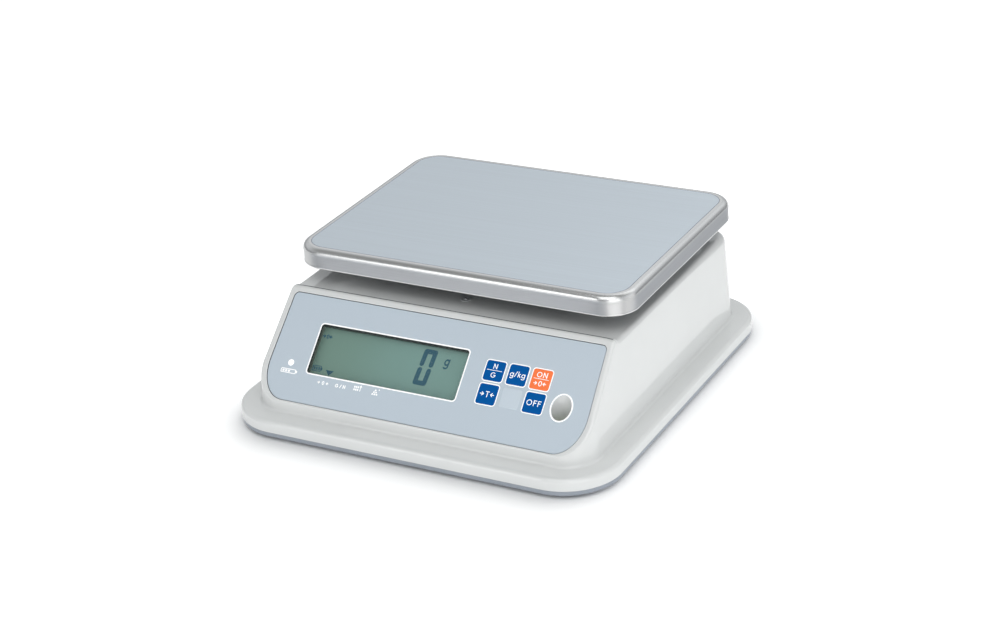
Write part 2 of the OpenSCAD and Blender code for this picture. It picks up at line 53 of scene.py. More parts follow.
# ------------------------------------------------------------------ sizes, mm
TILT = math.radians(43.85)
CT, ST = math.cos(TILT), math.sin(TILT)
PY, PZ = -116.37, 20.95                     # front edge of the panel overlay
HXW, YW0, YW1, RW = 115.6, -118.3, 118.4, 21.0   # housing wall at the flange
HXB, YB0, YB1, RB = 129.2, -132.4, 132.4, 35.5   # base outline
DRAFT, ZF, ZS = 0.063, 13.3, 5.5
DECK, RIDGE = 70.6, 72.4
PAN_Y = 29.73
LCD = (-81.55, 22.35, 19.85, 52.35)
KEY_COLS, KEY_ROWS = (42.1, 57.6, 73.1), (42.6, 27.7)
LED_U, LED_V = -94.3, 24.2
WELL_X, WELL_R, WELL_W = 91.0, 5.75, 0.5
WELL_Y = PY + 28 * CT


def smooth(a, b, x):
    t = min(1.0, max(0.0, (x - a) / (b - a)))
    return t * t * (3 - 2 * t)


def panel(u, v, w=0.0):
    """A point of the sloped panel: u along it, v up the slope, w out of it."""
    return (u, PY + v * CT - w * ST, PZ + v * ST + w * CT)


# -------------------------------------------------------------- mesh builder
class Build:
    """Collects vertices and faces, then makes one mesh object in metres."""

    def __init__(self):
        self.v, self.f, self.m = [], [], []

    def add(self, pts):
        i = len(self.v)
        self.v.extend([(float(p[0]), float(p[1]), float(p[2])) for p in pts])
        return list(range(i, i + len(pts)))

    def face(self, ids, mat=0):
        self.f.append(tuple(ids))
        self.m.append(mat)

    def strip(self, a, b, mat=0, closed=True, skip=()):
        n = len(a)
        for i in range(n if closed else n - 1):
            if i in skip:
                continue
            j = (i + 1) % n
            self.face((a[i], a[j], b[j], b[i]), mat)

    def fill(self, loops, flat, mat=0):
        """Triangles between closed loops of vertex numbers; flat gives each vertex's 2-D place."""
        co, ed, ids = [], [], []
        for loop in loops:
            s, n = len(co), len(loop)
            co += [Vector(flat(self.v[i])) for i in loop]
            ids += loop
            ed += [(s + k, s + (k + 1) % n) for k in range(n)]
        vo, _, fo, ov, _, _ = delaunay_2d_cdt(co, ed, [], 0, 1e-5)
        back = [o[0] if o else None for o in ov]
        seg = np.array([[co[a][0], co[a][1], co[b][0], co[b][1]] for a, b in ed])
        for t in fo:
            c = sum((vo[k] for k in t), Vector((0, 0))) / len(t)
            y0, y1 = seg[:, 1], seg[:, 3]
            cross = (y0 > c[1]) != (y1 > c[1])
            with np.errstate(divide="ignore", invalid="ignore"):
                x = seg[:, 0] + (c[1] - y0) / (y1 - y0) * (seg[:, 2] - seg[:, 0])
            if np.count_nonzero(cross & (x > c[0])) % 2:
                if any(back[k] is None for k in t):
                    raise RuntimeError("loops of a flat face cross each other")
                self.face([ids[back[k]] for k in t], mat)

    def make(self, name, mats, angle=32, body="chassis", outward=True, weld=False):
        me = bpy.data.meshes.new(name)
        bm = bmesh.new()
        vs = [bm.verts.new((x * 0.001, y * 0.001, z * 0.001)) for x, y, z in self.v]
        for ids, m in zip(self.f, self.m):
            if len(set(ids)) < 3:
                continue
            try:
                bm.faces.new([vs[i] for i in ids]).material_index = m
            except ValueError:
                pass
        loose = [v for v in bm.verts if not v.link_faces]
        bmesh.ops.delete(bm, geom=loose, context="VERTS")
        if weld:
            bmesh.ops.remove_doubles(bm, verts=bm.verts, dist=2e-7)
        if outward:
            bmesh.ops.recalc_face_normals(bm, faces=bm.faces)
        for f in bm.faces:
            f.smooth = True
        bm.to_mesh(me)
        bm.free()
        me.set_sharp_from_angle(angle=math.radians(angle))
        for m in mats if isinstance(mats, (list, tuple)) else [mats]:
            me.materials.append(m)
        ob = bpy.data.objects.new(name, me)
        scene.collection.objects.link(ob)
        if body:
            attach(ob, body)
        return ob


def arc(cx, cy, rx, ry, a0, a1, n):
    return [(cx + rx * math.cos(math.radians(a0 + (a1 - a0) * i / n)),
             cy + ry * math.sin(math.radians(a0 + (a1 - a0) * i / n))) for i in range(n + 1)]


def rounded(x0, x1, y0, y1, r, n=6):
    """Closed loop of a rectangle with rounded corners, counter-clockwise."""
    return (arc(x1 - r, y0 + r, r, r, 270, 360, n) + arc(x1 - r, y1 - r, r, r, 0, 90, n)
            + arc(x0 + r, y1 - r, r, r, 90, 180, n) + arc(x0 + r, y0 + r, r, r, 180, 270, n))


def ellipse(cx, cy, rx, ry, n=40):
    return arc(cx, cy, rx, ry, 0, 360 - 360 / n, n - 1)


def overlay_loop(g, nb=18, nt=6, side=10, edge=26):
    """Outline of the panel overlay grown by g, counter-clockwise in (u, v)."""
    hw, tp, ln = 110.05, 2.41, 70.0
    b, c, t, h = 17.5 + g, 25.0 + g, 3.0 + g, hw + g
    t = max(t, 0.5)
    pts = arc(h - b, c - g, b, c, 270, 360, nb)
    pts += [(h, c - g + (ln + g - t - (c - g)) * k / side) for k in range(1, side)]
    pts += arc(h - t, ln + g - t, t, t, 0, 90, nt)
    pts += [((h - t) * (1 - 2 * k / edge), ln + g) for k in range(1, edge)]
    pts += arc(-h + t, ln + g - t, t, t, 90, 180, nt)
    pts += [(-h, ln + g - t + (c - g - (ln + g - t)) * k / side) for k in range(1, side)]
    pts += arc(-h + b, c - g, b, c, 180, 270, nb)
    pts += [((-h + b) * (1 - 2 * k / edge), -g) for k in range(1, edge)]
    return [(u * (hw - tp * v / ln) / hw, v) for u, v in pts]


# ---------------------------------------------------------- material helpers
def new_mat(name, color, rough=0.4, metal=0.0, spec=0.5):
    m = bpy.data.materials.new(name)
    m.use_nodes = True
    n, l = m.node_tree.nodes, m.node_tree.links
    b = n["Principled BSDF"]
    b.inputs["Base Color"].default_value = (*color, 1)
    b.inputs["Roughness"].default_value = rough
    b.inputs["Metallic"].default_value = metal
    b.inputs["Specular IOR Level"].default_value = spec
    return m, n, l, b


def coords(n, l, scale):
    tc = n.new("ShaderNodeTexCoord")
    mp = n.new("ShaderNodeMapping")
    mp.inputs["Scale"].default_value = scale
    l.new(tc.outputs["Object"], mp.inputs["Vector"])
    return mp.outputs["Vector"]


def noise(n, l, scale, freq=1.0, detail=3.0, rough=0.5):
    t = n.new("ShaderNodeTexNoise")
    t.inputs["Scale"].default_value = freq
    t.inputs["Detail"].default_value = detail
    t.inputs["Roughness"].default_value = rough
    l.new(coords(n, l, scale), t.inputs["Vector"])
    return t.outputs["Fac"]


def spread(n, l, fac, lo, hi, a=0.3, b=0.7):
    r = n.new("ShaderNodeMapRange")
    r.inputs["From Min"].default_value = a
    r.inputs["From Max"].default_value = b
    r.inputs["To Min"].default_value = lo
    r.inputs["To Max"].default_value = hi
    l.new(fac, r.inputs["Value"])
    return r.outputs["Result"]


def tint(n, l, fac, c0, c1, a=0.35, b=0.65):
    r = n.new("ShaderNodeValToRGB")
    r.color_ramp.elements[0].position, r.color_ramp.elements[1].position = a, b
    r.color_ramp.elements[0].color = (*c0, 1)
    r.color_ramp.elements[1].color = (*c1, 1)
    l.new(fac, r.inputs["Fac"])
    return r.outputs["Color"]


def bump(n, l, b, height, strength, dist):
    bp = n.new("ShaderNodeBump")
    bp.inputs["Strength"].default_value = strength
    bp.inputs["Distance"].default_value = dist
    l.new(height, bp.inputs["Height"])
    l.new(bp.outputs["Normal"], b.inputs["Normal"])


def plastic(name, color, rough, grain=2500, depth=0.00002, strength=0.12, vary=0.03, spec=0.5):
    """Moulded plastic: faint cloud in the colour, spark-eroded grain in the bump and gloss."""
    m, n, l, b = new_mat(name, color, rough, 0, spec)
    lo = [c * (1 - vary) for c in color]
    hi = [min(1, c * (1 + vary * 0.5)) for c in color]
    l.new(tint(n, l, noise(n, l, (40, 40, 40), 1, 2), lo, hi), b.inputs["Base Color"])
    fine = noise(n, l, (grain, grain, grain), 1, 2)
    l.new(spread(n, l, fine, rough * 0.88, rough * 1.14), b.inputs["Roughness"])
    bump(n, l, b, fine, strength, depth)
    return m


def metal(name, color, rough, scale, vary=0.06, strength=0.1, depth=0.00001, soft=0.25, drawn=0.0, turn=0.25):
    """Metal with a brushed or rolled grain: scale is cycles per metre along each axis."""
    m, n, l, b = new_mat(name, color, rough, 1.0)
    g = noise(n, l, scale, 1, 4, 0.6)
    broad = noise(n, l, tuple(s * soft for s in scale), 1, 2)
    mix = n.new("ShaderNodeMath")
    mix.operation = "ADD"
    l.new(g, mix.inputs[0])
    l.new(broad, mix.inputs[1])
    half = n.new("ShaderNodeMath")
    half.operation = "MULTIPLY"
    half.inputs[1].default_value = 0.5
    l.new(mix.outputs[0], half.inputs[0])
    lo = [c * (1 - vary) for c in color]
    hi = [min(1, c * (1 + vary)) for c in color]
    l.new(tint(n, l, half.outputs[0], lo, hi), b.inputs["Base Color"])
    l.new(spread(n, l, half.outputs[0], rough * 0.85, rough * 1.2), b.inputs["Roughness"])
    bump(n, l, b, g, strength, depth)
    if drawn:
        t = n.new("ShaderNodeTangent")
        t.direction_type = "RADIAL"
        t.axis = "Z"
        b.inputs["Anisotropic"].default_value = drawn
        b.inputs["Anisotropic Rotation"].default_value = turn
        l.new(t.outputs["Tangent"], b.inputs["Tangent"])
    return m


M = {}
M["abs"] = plastic("housing_white", (0.685, 0.697, 0.692), 0.032, 1800, 0.000002, 0.015, 0.01, 0.75)
# Dark grey painted into the groove behind the ridge and into the moat round the overlay: painted shade in real narrow
# gaps.
M["seam_gap"] = plastic("seam_shadow", (0.13, 0.14, 0.145), 0.55, 1500, vary=0.05)
M["tray"] = plastic("tray_blue_grey", (0.295, 0.328, 0.375), 0.30, 1500, 0.00003, 0.12, 0.05)
M["stop_cap"] = plastic("stop_cap_grey", (0.45, 0.47, 0.48), 0.3, 1500, vary=0.05)
# The seat and walls of the window are painted near black, painted shade inside the opening. The left wall catches more
# light and is painted a less dark green, also painted shade.
M["dark_wall"] = plastic("window_wall_painted_shade", (0.02, 0.03, 0.028), 0.5, 1500)
M["wall_side"] = plastic("window_left_wall_painted_shade", (0.075, 0.1, 0.08), 0.5, 1500)
M["black"] = plastic("black_plastic", (0.022, 0.023, 0.026), 0.42, 1500, 0.00003, 0.2, 0.1)
M["foot"] = plastic("foot_plastic", (0.045, 0.05, 0.056), 0.45, 1200, 0.00004, 0.25, 0.1)
M["rubber"] = plastic("seal_rubber", (0.02, 0.02, 0.022), 0.7, 1100, 0.00005, 0.35, 0.15, 0.3)
M["sole"] = plastic("foot_rubber", (0.032, 0.032, 0.034), 0.75, 900, 0.00006, 0.4, 0.15, 0.3)
M["milky"] = plastic("milky_plastic", (0.86, 0.88, 0.88), 0.2, 2000, 0.00001, 0.05, 0.02)
M["board"] = plastic("circuit_board", (0.012, 0.11, 0.045), 0.35, 700, 0.00003, 0.2, 0.2)
M["spacer"] = plastic("spacer_film", (0.6, 0.62, 0.64), 0.4, 1500)
M["circuit"] = plastic("circuit_film", (0.45, 0.37, 0.18), 0.35, 1500)
M["vial"] = plastic("vial_plastic", (0.55, 0.57, 0.58), 0.25, 1500)
M["battery"] = plastic("battery_case", (0.03, 0.032, 0.036), 0.5, 1200, 0.00003, 0.2, 0.1)
M["cable_grey"] = plastic("grey_cable", (0.2, 0.21, 0.22), 0.5, 1500)
M["cable_red"] = plastic("red_cable", (0.3, 0.03, 0.025), 0.45, 1500)
M["steel_top"] = metal("pan_top_brushed", (0.69, 0.757, 0.812), 0.34, (14, 2600, 14), 0.03, 0.10, 0.000008)
M["steel_rim"] = metal("pan_rim_polished", (0.72, 0.72, 0.715), 0.18, (30, 30, 1400), 0.02, 0.0, 0.000001, 0.25, 0.5)
M["steel_skirt"] = metal("pan_skirt_brushed", (0.575, 0.59, 0.615), 0.47, (16, 16, 2600), 0.07, 0.12, 0.000008, 0.25, 1.0)


def polish_corner_with_sheen(m, color, rough):
    """Brightens the skirt towards the middle of each drawn corner: a smoother finish there, and a paler colour that is
    a painted highlight.
    """
    n, l = m.node_tree.nodes, m.node_tree.links
    b = n["Principled BSDF"]
    tc = n.new("ShaderNodeTexCoord")
    sep = n.new("ShaderNodeSeparateXYZ")
    l.new(tc.outputs["Normal"], sep.inputs[0])

    def math_node(op, a, c):
        k = n.new("ShaderNodeMath")
        k.operation = op
        for i, v in ((0, a), (1, c)):
            if isinstance(v, float):
                k.inputs[i].default_value = v
            else:
                l.new(v, k.inputs[i])
        return k.outputs[0]
    x, y = sep.outputs["X"], sep.outputs["Y"]
    both = math_node("ABSOLUTE", math_node("MULTIPLY", x, y), 0.0)
    size = math_node("ADD", math_node("MULTIPLY", x, x), math_node("MULTIPLY", y, y))
    r = n.new("ShaderNodeMapRange")
    r.interpolation_type = "SMOOTHSTEP"
    r.inputs["From Min"].default_value, r.inputs["From Max"].default_value = 0.10, 0.42
    l.new(math_node("DIVIDE", both, math_node("MAXIMUM", size, 0.001)), r.inputs["Value"])
    mix = n.new("ShaderNodeMix")
    mix.data_type = "RGBA"
    l.new(b.inputs["Base Color"].links[0].from_socket, mix.inputs["A"])
    mix.inputs["B"].default_value = (*color, 1)
    l.new(r.outputs["Result"], mix.inputs["Factor"])
    l.new(mix.outputs["Result"], b.inputs["Base Color"])
    soft = n.new("ShaderNodeMix")
    soft.data_type = "FLOAT"
    l.new(b.inputs["Roughness"].links[0].from_socket, soft.inputs["A"])
    soft.inputs["B"].default_value = rough
    l.new(r.outputs["Result"], soft.inputs["Factor"])
    l.new(soft.outputs["Result"], b.inputs["Roughness"])


def polish_rim(m, color, rough, drawn, lo=0.70, hi=0.84):
    """Runs the brushed skirt into the polished rounding of the edge above it."""
    n, l = m.node_tree.nodes, m.node_tree.links
    b = n["Principled BSDF"]
    tc = n.new("ShaderNodeTexCoord")
    sep = n.new("ShaderNodeSeparateXYZ")
    l.new(tc.outputs["Generated"], sep.inputs[0])

    def ramp(a, c):
        r = n.new("ShaderNodeMapRange")
        r.interpolation_type = "SMOOTHSTEP"
        r.inputs["From Min"].default_value, r.inputs["From Max"].default_value = lo, hi
        r.inputs["To Min"].default_value, r.inputs["To Max"].default_value = a, c
        l.new(sep.outputs["Z"], r.inputs["Value"])
        return r.outputs["Result"]
    fac = ramp(0.0, 1.0)
    mix = n.new("ShaderNodeMix")
    mix.data_type = "RGBA"
    l.new(b.inputs["Base Color"].links[0].from_socket, mix.inputs["A"])
    mix.inputs["B"].default_value = (*color, 1)
    l.new(fac, mix.inputs["Factor"])
    l.new(mix.outputs["Result"], b.inputs["Base Color"])
    soft = n.new("ShaderNodeMix")
    soft.data_type = "FLOAT"
    l.new(b.inputs["Roughness"].links[0].from_socket, soft.inputs["A"])
    soft.inputs["B"].default_value = rough
    l.new(fac, soft.inputs["Factor"])
    l.new(soft.outputs["Result"], b.inputs["Roughness"])
    l.new(ramp(b.inputs["Anisotropic"].default_value, drawn), b.inputs["Anisotropic"])
    bp = b.inputs["Normal"].links[0].from_node
    l.new(ramp(bp.inputs["Strength"].default_value, 0.0), bp.inputs["Strength"])


# The skirt's corners carry a painted highlight in their colour, and a smoother finish.
polish_corner_with_sheen(M["steel_skirt"], (0.65, 0.65, 0.65), 0.36)
polish_rim(M["steel_skirt"], (0.655, 0.66, 0.66), 0.25, 0.6)
# The pan's underside is painted dark blue-grey: painted shade under the pan, which also dims the deck below.
M["steel_under"] = metal("pan_underside", (0.12, 0.15, 0.175), 0.42, (30, 1200, 30), 0.05, 0.1)
# The fine groove round the pan top is painted dark blue-grey: painted shade in the groove.
M["steel_seam"] = metal("pan_seam_line_shade", (0.16, 0.21, 0.29), 0.35, (200, 200, 200), 0.1, 0.05)
M["alloy"] = metal("bare_aluminium", (0.62, 0.63, 0.645), 0.38, (60, 900, 60), 0.05, 0.15)
M["zinc"] = metal("zinc_steel", (0.42, 0.43, 0.45), 0.3, (700, 700, 200), 0.1, 0.15)
M["spring"] = metal("spring_steel", (0.55, 0.56, 0.57), 0.25, (400, 400, 400), 0.05, 0.05)
M["brass"] = metal("turned_brass", (0.56, 0.42, 0.16), 0.3, (300, 300, 2500), 0.08, 0.15)


def film_mat(name, color, rough, grain=3300, strength=0.22, depth=0.00002, vary=0.02, spec=0.4):
    """Printed polycarbonate film: fine velvet texture over an even ink."""
    m, n, l, b = new_mat(name, color, rough, 0, spec)
    fine = noise(n, l, (grain, grain, grain), 1, 2, 0.6)
    lo = [c * (1 - vary) for c in color]
    hi = [min(1, c * (1 + vary)) for c in color]
    l.new(tint(n, l, fine, lo, hi, 0.3, 0.7), b.inputs["Base Color"])
    l.new(spread(n, l, fine, rough * 0.9, rough * 1.1), b.inputs["Roughness"])
    bump(n, l, b, fine, strength, depth)
    return m


M["overlay"] = film_mat("overlay_blue_grey", (0.508, 0.581, 0.648), 0.42)
M["overlay_pale"] = film_mat("overlay_pale", (0.562, 0.637, 0.703), 0.42)
M["ink_white"] = film_mat("white_ink", (0.97, 0.97, 0.97), 0.4, vary=0.005)
M["key_blue"] = film_mat("key_blue_ink", (0.0, 0.092, 0.342), 0.42, vary=0.06, spec=0.06)
M["key_orange"] = film_mat("key_orange_ink", (1.0, 0.21, 0.065), 0.42, vary=0.03, spec=0.15)


# The white ink glows faintly: painted light that makes the print read brighter.
ink_glow = M["ink_white"].node_tree.nodes["Principled BSDF"]
ink_glow.inputs["Emission Color"].default_value = (1, 1, 1, 1)
ink_glow.inputs["Emission Strength"].default_value = 0.14


def lcd_mat():
    """Reflective liquid crystal cell: green-grey, with painted shade: darker towards its top and left edges, near black
    under the window's upper lip, and duller on its left side.
    """
    c, dull_shade_tone = (0.172, 0.303, 0.272), (0.150, 0.258, 0.212)
    m, n, l, b = new_mat("lcd_cell", c, 0.22)
    tc = n.new("ShaderNodeTexCoord")
    sep = n.new("ShaderNodeSeparateXYZ")
    l.new(tc.outputs["Object"], sep.inputs[0])
    # Painted shade: the cell darkens towards its top and towards its left edge.
    z = n.new("ShaderNodeMapRange")
    z.interpolation_type = "SMOOTHSTEP"
    z.inputs["From Min"].default_value = (PZ + 42.5 * ST) * 0.001
    z.inputs["From Max"].default_value = (PZ + 52 * ST) * 0.001
    z.inputs["To Min"].default_value = 1.0
    z.inputs["To Max"].default_value = 0.55
    l.new(sep.outputs["Z"], z.inputs["Value"])
    x = n.new("ShaderNodeMapRange")
    x.interpolation_type = "SMOOTHSTEP"
    x.inputs["From Min"].default_value = -0.0825
    x.inputs["From Max"].default_value = -0.074
    x.inputs["To Min"].default_value = 0.72
    x.inputs["To Max"].default_value = 1.0
    l.new(sep.outputs["X"], x.inputs["Value"])
    mu = n.new("ShaderNodeMath")
    mu.operation = "MULTIPLY"
    l.new(z.outputs["Result"], mu.inputs[0])
    l.new(x.outputs["Result"], mu.inputs[1])
    # Painted shadow of the window's upper lip across the top of the cell.
    lip = n.new("ShaderNodeMapRange")
    lip.interpolation_type = "SMOOTHSTEP"
    lip.inputs["From Min"].default_value = (PZ + 51.1 * ST - 4 * CT) * 0.001
    lip.inputs["From Max"].default_value = (PZ + 52.2 * ST - 4 * CT) * 0.001
    lip.inputs["To Min"].default_value = 1.0
    lip.inputs["To Max"].default_value = 0.05
    l.new(sep.outputs["Z"], lip.inputs["Value"])
    edge = n.new("ShaderNodeMath")
    edge.operation = "MULTIPLY"
    l.new(mu.outputs[0], edge.inputs[0])
    l.new(lip.outputs["Result"], edge.inputs[1])
    grain = noise(n, l, (2500, 2500, 2500), 1, 2)
    # The left side is painted a duller green: painted shade.
    side = n.new("ShaderNodeMapRange")
    side.interpolation_type = "SMOOTHSTEP"
    side.inputs["From Min"].default_value = -0.075
    side.inputs["From Max"].default_value = -0.012
    l.new(sep.outputs["X"], side.inputs["Value"])
    left_shade_wash = n.new("ShaderNodeMix")
    left_shade_wash.data_type = "RGBA"
    l.new(tint(n, l, grain, [k * 0.97 for k in dull_shade_tone], [k * 1.03 for k in dull_shade_tone]), left_shade_wash.inputs["A"])
    l.new(tint(n, l, grain, [k * 0.97 for k in c], [k * 1.03 for k in c]), left_shade_wash.inputs["B"])
    l.new(side.outputs["Result"], left_shade_wash.inputs["Factor"])
    mix = n.new("ShaderNodeMix")
    mix.data_type = "RGBA"
    mix.inputs["A"].default_value = (0.03, 0.05, 0.045, 1)
    l.new(left_shade_wash.outputs["Result"], mix.inputs["B"])
    l.new(edge.outputs[0], mix.inputs["Factor"])
    l.new(mix.outputs["Result"], b.inputs["Base Color"])
    return m


M["lcd"] = lcd_mat()
M["segment"] = plastic("lcd_segment", (0.029, 0.095, 0.135), 0.4, 2500, vary=0.05, spec=0.1)


def clear_mat(name, color, alpha, rough=0.05):
    m, n, l, b = new_mat(name, color, rough)
    b.inputs["Alpha"].default_value = alpha
    l.new(spread(n, l, noise(n, l, (300, 300, 300), 1, 2), rough * 0.8, rough * 1.3), b.inputs["Roughness"])
    return m


M["led_dot"] = plastic("lamp_lens", (0.97, 0.97, 0.97), 0.25, 2000, 0.00001, 0.05, 0.005)
M["led_dot"].node_tree.nodes["Principled BSDF"].inputs["Emission Color"].default_value = (1, 1, 1, 1)
M["led_dot"].node_tree.nodes["Principled BSDF"].inputs["Emission Strength"].default_value = 0.25
M["clear"] = clear_mat("clear_window", (0.9, 0.95, 0.93), 0.012)
M["clear"].node_tree.nodes["Principled BSDF"].inputs["Specular IOR Level"].default_value = 0.15
M["fluid"] = clear_mat("level_fluid", (0.55, 0.72, 0.2), 0.55, 0.08)

SLOT_MAT = {
    "housing_plastic": "abs", "tray_plastic": "tray", "stainless_pan": "steel_skirt", "aluminium": "alloy",
    "zinc_steel": "zinc", "spring_steel": "spring", "brass": "brass", "seal_rubber": "rubber", "foot_rubber": "sole",
    "foot_plastic": "foot", "overlay_film": "overlay", "key_blue": "key_blue", "key_orange": "key_orange",
    "clear_window": "clear", "lcd_glass": "lcd", "milky_plastic": "milky", "black_plastic": "black",
    "circuit_board": "board", "spacer_film": "spacer", "circuit_film": "circuit", "vial_plastic": "vial",
    "level_fluid": "fluid", "battery_case": "battery", "grey_cable": "cable_grey", "red_cable": "cable_red"}
for row in frame["record"]["subparts"]:
    me = frame["nodes"][row["node"]].data
    me.materials.clear()
    me.materials.append(M["led_dot" if row["node"] == "led_light_pipe" else SLOT_MAT[row["material_slot"]]])


# ------------------------------------------------------------ upper housing
def plane_z(y, w=0.5):
    return PZ + (w + ST * (y - PY)) / CT


YC = PY + ((RIDGE - PZ) * CT - 0.5) / ST         # where the raised rim reaches the ridge height
R1, R2 = 2.4, 0.6
L1 = R1 * math.tan(TILT / 2)
Y_A = YC + L1 - R1 * math.sin(TILT)
Y_BACK = -62.15


def ridge_profile(y):
    """Height of the top across the ridge, from the sloped rim to the deck."""
    if y <= Y_A:
        return plane_z(y)
    if y <= YC + L1:
        return RIDGE - R1 + math.sqrt(max(0, R1 ** 2 - (YC + L1 - y) ** 2))
    if y <= Y_BACK:
        return RIDGE
    if y <= Y_BACK + 0.85:
        return RIDGE - 0.35
    if y <= -60.3 - R2:
        return RIDGE - 0.05
    if y <= -60.295:
        return RIDGE - 0.05 - R2 + math.sqrt(max(0, R2 ** 2 - (y + 60.3 + R2) ** 2))
    if y <= -59.8:
        return DECK - 0.3
    return DECK


def cap_z(y, fade):
    return min(plane_z(y), DECK + (ridge_profile(y) - DECK) * fade) if y > Y_A else plane_z(y)


ROWS = [Y_A - 0.4, Y_A]
ROWS += [YC + L1 - R1 * math.sin(TILT * (1 - k / 6)) for k in range(1, 7)]
ROWS += [Y_BACK, Y_BACK + 0.12, Y_BACK + 0.85, Y_BACK + 0.97, -60.3 - R2]
ROWS += [-60.3 - R2 + R2 * math.sin(math.radians(18 * k)) for k in range(1, 6)]
ROWS += [-60.29, -59.8, -59.45, -59.0]
SEAM_SHADE_ROWS = (Y_BACK, Y_BACK + 0.12, Y_BACK + 0.85)
SIDE_Y = [-97.3, -94, -90, -86, -82, -78, -74, -70, -67] + ROWS
SIDE_Y += [-57.5, -56, -54.5, -53, -51, -48, -44, -38] + [-28 + 10 * k for k in range(13)]
Y_END = 97.4
NC, NF = 22, 26


def perimeter(hx, y0, y1, r, sides):
    """Points and outward normals round a rounded rectangle: front, right, rear, left."""
    q, n = [], []
    cx, cf, cr = hx - r, y0 + r, y1 - r
    for k in range(NF):
        q.append((-cx + 2 * cx * k / NF, y0)); n.append((0, -1))

    def corner(x, y, a):
        for k in range(NC):
            t = math.radians(a + 90 * k / NC)
            q.append((x + r * math.cos(t), y + r * math.sin(t))); n.append((math.cos(t), math.sin(t)))
    corner(cx, cf, -90)
    for y in sides:
        q.append((hx, y)); n.append((1, 0))
    corner(cx, cr, 0)
    for k in range(NF):
        q.append((cx - 2 * cx * k / NF, y1)); n.append((0, 1))
    corner(-cx, cr, 90)
    for y in [cr] + sides[:0:-1]:
        q.append((-hx, y)); n.append((-1, 0))
    corner(-cx, cf, 180)
    return np.array(q), np.array(n)


QW, NW = perimeter(HXW, YW0, YW1, RW, SIDE_Y)
QB, NB = perimeter(HXB, YB0, YB1, RB, [YB0 + RB + (y + 97.3) / 194.7 * (YB1 - YB0 - 2 * RB) for y in SIDE_Y])
NS = len(SIDE_Y)
I_RIGHT = NF + NC
I_REAR = I_RIGHT + NS + NC
I_LEFT = I_REAR + NF + NC
RIGHT_AT = {round(y, 5): I_RIGHT + k for k, y in enumerate(SIDE_Y)}
LEFT_AT = {round(y, 5): I_LEFT + (NS - k) % NS if k else I_LEFT + NS for k, y in enumerate(SIDE_Y)}
# the left side runs from the rear to the front, and its front end opens the last corner
for k, y in enumerate(SIDE_Y):
    LEFT_AT[round(y, 5)] = I_LEFT + (NS - k)
FADE_END = 0.85


def slice_at(i):
    """Wall, edge rounding and cap in the upright plane through perimeter point i."""
    y, ny = QW[i][1], NW[i][1]
    front = i < I_RIGHT or i >= I_LEFT + NS
    if front:
        a, m = plane_z(y), -ny * ST / CT
        r = 1.2 + 1.8 * (1 - abs(ny))
    elif I_RIGHT <= i < I_RIGHT + NS or I_LEFT < i < I_LEFT + NS:
        a, m = cap_z(y, FADE_END), 0.0
        r = 3.0 - 0.6 * smooth(-97.3, -76, y) + 0.7 * smooth(-62.5, -50, y) + 2.1 * smooth(30, 97, y)
    else:
        a, m, r = DECK, 0.0, 5.2
    ze = (a - ZF * m * DRAFT) / (1 - m * DRAFT)
    e = np.array([DRAFT * (ze - ZF), ze])
    nw = np.array([1, -DRAFT]) / math.hypot(1, DRAFT)
    nc = np.array([m, -1.0]) / math.hypot(m, 1)
    c = e + np.linalg.solve(np.array([nw, nc]), np.array([r, r]))
    a0 = math.atan2(-nw[1], -nw[0])
    a1 = math.atan2(-nc[1], -nc[0])
    pts = [c + r * np.array([math.cos(a0 + (a1 - a0) * k / 10), math.sin(a0 + (a1 - a0) * k / 10)]) for k in range(11)]
    hold = pts[-1] + (0.15 + 0.25 * (1 - abs(ny) if front else 1)) * np.array([1, m]) / math.hypot(1, m)
    return pts, hold


